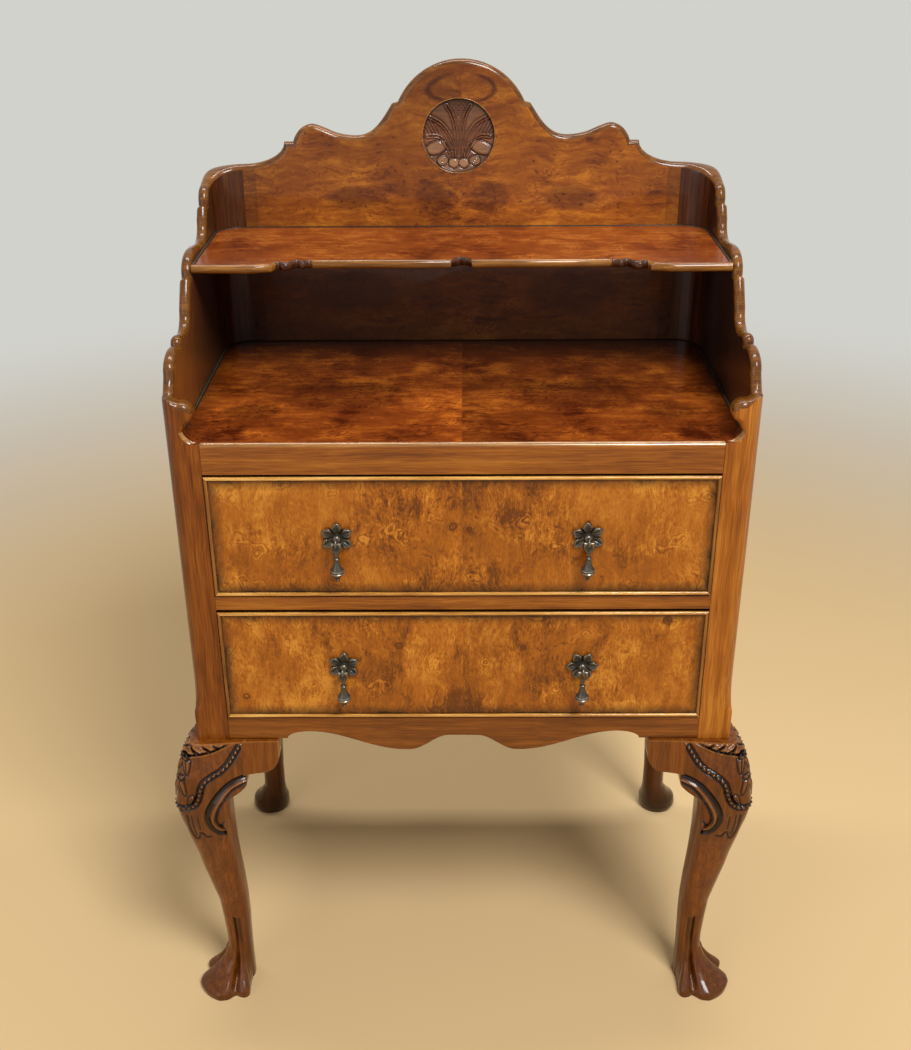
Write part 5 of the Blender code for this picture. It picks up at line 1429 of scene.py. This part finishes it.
def place(out, around):
    turn = 2 * math.pi * around
    x, z = out * np.cos(turn), out * np.sin(turn)
    height, dirt = roundel_carving(x, z)
    inside = 1 - eased(out, 0.93, 0.985)
    deep = (4.8 - 2.6 * out ** 2) * (1 - eased(out, 0.955, 1.0)) - height * inside
    # the hollows are painted darker with dirt and painted shade, the upper half of the dish is painted in shadow, and
    # the lower half and the ridges lighter, as a painted highlight and wear
    marks["dirt"] = np.clip(dirt * inside + 0.6 * hump(out - 0.955, 0.025) + 0.55 * eased(z, 0.25, 0.95), 0, 1)
    marks["ridge"] = np.clip((height - 0.5) * 0.9 + 0.9 * eased(-z, 0.35, 0.85), 0, 0.9) * inside
    return ROUNDEL_AT[0] + ROUNDEL_R * x, ROUNDEL_Y + np.clip(deep, 0.2, 4.9) * MM, ROUNDEL_AT[1] + ROUNDEL_R * z


def back_up(piece, merge, depth):
    """Merge a polar grid's seam and middle, draw its rim back and close it behind."""
    pick(piece, faces=anything)
    bpy.ops.mesh.remove_doubles(threshold=merge)
    bpy.ops.mesh.select_all(action="DESELECT")
    bpy.ops.mesh.select_mode(type="EDGE")
    bpy.ops.mesh.select_non_manifold()
    bpy.ops.mesh.extrude_region_move(TRANSFORM_OT_translate={"value": (0, depth, 0)})
    bpy.ops.mesh.fill_holes(sides=0)
    face_outwards()


roundel = wrapped_grid(100, 300, place)
paint(roundel, "grime_and_shade", marks["dirt"] * 0.85)
paint(roundel, "worn_and_sheen", marks["ridge"])
back_up(roundel, TINY, ROUNDEL_DEEP)
begin()
bpy.ops.mesh.primitive_torus_add(major_segments=96, minor_segments=8, major_radius=POCKET_R, minor_radius=RIM_R,
                                 location=(ROUNDEL_AT[0], FRONT + GALLERY_FACE, ROUNDEL_AT[1]),
                                 rotation=UPRIGHT)
rim = bpy.context.object
bpy.ops.object.transform_apply()
rim.data.materials.append(NOSING_WALNUT)
roundel.data.materials.append(CARVED_WALNUT)
roundel = join(roundel, rim)
settle(roundel, "carved_spray_roundel", CARVED_WALNUT, "carcass", "burr_walnut", "carved_roundel", smooth=70)

# %% [markdown]
# ## Drop handles
# Each handle is a six-petalled plate, an eye bolt with a round boss, and a drop that was turned on a lathe and hangs
# from a small link. The plate is a polar grid with petals in its edge and its height. Every plate is made on its own,
# because each has slipped round differently: the lower right one by half a petal, as old plates do, two others by a
# few degrees. Bolt and drop are the same four times. They are profiles spun round an axis, modelled at the first
# handle and copied to the others, each copy with its own mesh.

# %% Handle parts
PLATE_R, PETAL = 15.0, 60.0                         # millimetres, degrees
FINE = 0.000005
# how far each plate has slipped round, in degrees
SPOTS = {"upper_left": 0, "upper_right": 4, "lower_left": -3, "lower_right": 30}


def plate_place(x, face, z, slip):
    """Where each point of a polar grid goes on a plate in front of a face."""
    def place(out, around):
        turn = 360 * around
        off = np.abs((turn - 90 - slip + PETAL / 2) % PETAL - PETAL / 2) / (PETAL / 2)
        edge = PLATE_R * (0.64 + 0.36 * (1 - off ** 1.15))
        radius = edge * out
        cup = 1.2 + 1.7 * eased(out, 0.3, 0.75) + 0.5 * hump(out - 0.9, 0.09) - 0.9 * eased(out, 0.95, 1.0)
        cup = cup - 0.6 * hump(off, 0.14) * eased(out, 0.35, 0.6)
        cup = cup - 2.0 * eased(off, 0.72, 1.0) * eased(out, 0.3, 0.6)
        high = np.clip(cup, 0.35, 4.0)
        rim = hump(out - 0.92, 0.07) + hump(off - 0.62, 0.1) * eased(out, 0.45, 0.7)
        marks["worn_and_sheen"] = np.clip(0.35 * rim * (1 - eased(off, 0.7, 0.95)) + 0.1 * hump(off - 0.3, 0.12), 0, 0.9)
        across, up = radius * MM * np.cos(np.radians(turn)), radius * MM * np.sin(np.radians(turn))
        return x + across, face - high * MM, z + up
    return place


def spun(profile, spot, axis, steps=36):
    """A profile of (radius, distance along the axis) in millimetres, spun once round."""
    along = Vector(axis)
    across = Vector((1, 0, 0)) if abs(along.x) < 0.5 else Vector((0, 0, 1))
    points = [Vector(spot) + across * r * MM + along * d * MM for r, d in profile]
    mesh = bpy.data.meshes.new("profile")
    mesh.from_pydata(points, [(k, k + 1) for k in range(len(points) - 1)], [])
    piece = lay_out(mesh)
    pick(piece, edges=anything)
    bpy.ops.mesh.spin(steps=steps, angle=2 * math.pi, center=spot, axis=axis)
    bpy.ops.mesh.select_all(action="SELECT")
    bpy.ops.mesh.remove_doubles(threshold=FINE)
    face_outwards()
    return piece


# %% Handle sizes
PLATE_SHEET, LINK_R = 0.0003, 0.00105
EYE_R, EYE_WIRE_R = 0.0033, 0.0011
# turned profiles: radius, and place along the axis from the hinge or from the drawer's face, in millimetres
DROP_PROFILE = ((0.0, -8.2), (1.6, -8.5), (2.0, -9.6), (1.6, -10.8), (1.4, -11.6), (1.6, -12.3), (2.6, -12.8),
                (3.0, -13.5), (2.6, -14.2), (2.2, -14.8), (2.5, -16.2), (2.9, -18.6), (3.6, -21.0), (4.6, -23.2),
                (5.0, -23.9), (5.8, -24.2), (6.2, -25.0), (5.8, -25.8), (5.0, -26.1), (5.7, -26.4), (6.3, -27.2),
                (5.9, -28.1), (4.9, -28.5), (4.3, -29.8), (3.0, -31.6), (1.7, -33.0), (1.3, -33.5), (1.8, -34.0),
                (1.8, -34.9), (1.0, -35.4), (0.0, -35.6))
BOSS_PROFILE = ((0.0, 7.6), (1.5, 7.3), (1.5, 6.0), (2.2, 5.8), (3.2, 4.6), (3.5, 3.4), (3.3, 2.2), (3.7, 1.4),
                (1.9, 1.0), (1.9, -26.0), (0.0, -26.0))
BAR_PROFILE = ((0.0, -4.6), (1.0, -4.5), (1.5, -4.0), (1.5, -2.2), (1.05, -1.9), (1.05, 1.9), (1.5, 2.2),
               (1.5, 4.0), (1.0, 4.5), (0.0, 4.6))
LINK_LINE = ((-3.6, 0), (-3.9, -1.6), (-3.7, -3.4), (-2.9, -5.6), (-1.5, -7.6), (0, -8.6), (1.5, -7.6),
             (2.9, -5.6), (3.7, -3.4), (3.9, -1.6), (3.6, 0))

# %% Bolt and drop
def plate_spot(spot):
    """Where a handle's plate lies against its drawer."""
    low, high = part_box(spot + "_plate")
    return Vector(((low[0] + high[0]) / 2, high[1], (low[2] + high[2]) / 2))


first_spot = next(iter(SPOTS))
first = plate_spot(first_spot)
eye = Vector((first.x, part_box(first_spot + "_eye_bolt")[0][1] + EYE_R + EYE_WIRE_R, first.z))
# the boss and stem of the eye bolt, and the ring that the drop hangs in
boss = spun(BOSS_PROFILE, first, (0, -1, 0))
begin()
bpy.ops.mesh.primitive_torus_add(major_radius=EYE_R, minor_radius=EYE_WIRE_R, major_segments=36, minor_segments=14,
                                 location=eye, rotation=(0, math.pi / 2, 0))
bpy.ops.object.transform_apply()
bolt = join(boss, bpy.context.object)
paint(bolt, "worn_and_sheen", [0.35 if p.co.y < first.y - 0.0038 else 0.1 for p in bolt.data.vertices])
# the drop: a round bar through the eye, two arms that meet above the neck, and the turned pendant
hang = eye - Vector((0, 0, 0.0009))
pendant = spun(DROP_PROFILE, hang, (0, 0, 1))
bar = spun(BAR_PROFILE, hang, (1, 0, 0), 18)
link = bpy.data.curves.new("link", "CURVE")
link.dimensions, link.bevel_depth, link.bevel_resolution = "3D", LINK_R, 4
link.use_fill_caps = True
draw(link, [(hang.x + across * MM, hang.y, hang.z + up * MM) for across, up in LINK_LINE])
lay_out(link)
bpy.ops.object.convert(target="MESH")
drop = join(pendant, bar, bpy.context.object)
# the bar in the eye and the drop's widest band are painted lighter: rubbed brass and a painted highlight
rubbed_and_lit = []
for p in drop.data.vertices:
    off = p.co - hang
    in_eye = abs(off.z) < 0.0018 and abs(off.x) < 0.0041
    rubbed_and_lit.append(0.75 if in_eye else 0.15 + 0.7 * float(hump(math.hypot(off.x, off.y) / MM - 6.2, 0.4)))
paint(drop, "worn_and_sheen", rubbed_and_lit)
print("bolt", len(bolt.data.polygons), "faces, drop", len(drop.data.polygons), "faces")


# %% Handles
def copied(piece, shift):
    """A copy with its own mesh, moved to another handle."""
    hold(piece)
    bpy.ops.object.duplicate()
    bpy.context.object.location = shift
    bpy.ops.object.transform_apply()
    return bpy.context.object


for spot, slip in SPOTS.items():
    here = plate_spot(spot)
    drawer = spot.split("_")[0] + "_drawer"
    plate = wrapped_grid(26, 180, plate_place(*here, slip))
    paint(plate, "worn_and_sheen", marks["worn_and_sheen"])
    back_up(plate, FINE, PLATE_SHEET)
    settle(plate, "petalled_plate_" + spot, BRONZE, drawer, "bronze", spot + "_plate", smooth=50)
    settle(copied(bolt, here - first), "boss_and_eye_" + spot, BRONZE, drawer, "bronze", spot + "_eye_bolt", smooth=40)
    settle(copied(drop, here - first), "turned_drop_" + spot, BRONZE, spot + "_handle", "bronze", spot + "_drop",
           smooth=35)
for model in (bolt, drop):
    bpy.data.objects.remove(model)

# %% [markdown]
# ## Hidden pieces
# The linings of the drawers, the runners, the boards behind and below and the nuts are hardly seen. Their CAD solids
# already have the right shape, so they stay as they are and only get a finish.

# %% CAD nodes that stay
for name, finish_of in (("carcass_back", BACK_WOOD), ("base_board", BACK_WOOD), ("drawer_side", OAK),
                        ("drawer_bottom", OAK), ("drawer_back", OAK), ("runner", OAK), ("kicker", OAK),
                        ("nut", STEEL)):
    kept = [node for node_name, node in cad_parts.items() if name in node_name]
    for node in kept:
        node.data.materials.clear()
        node.data.materials.append(finish_of)
    print(len(kept), name, "in", finish_of.name)
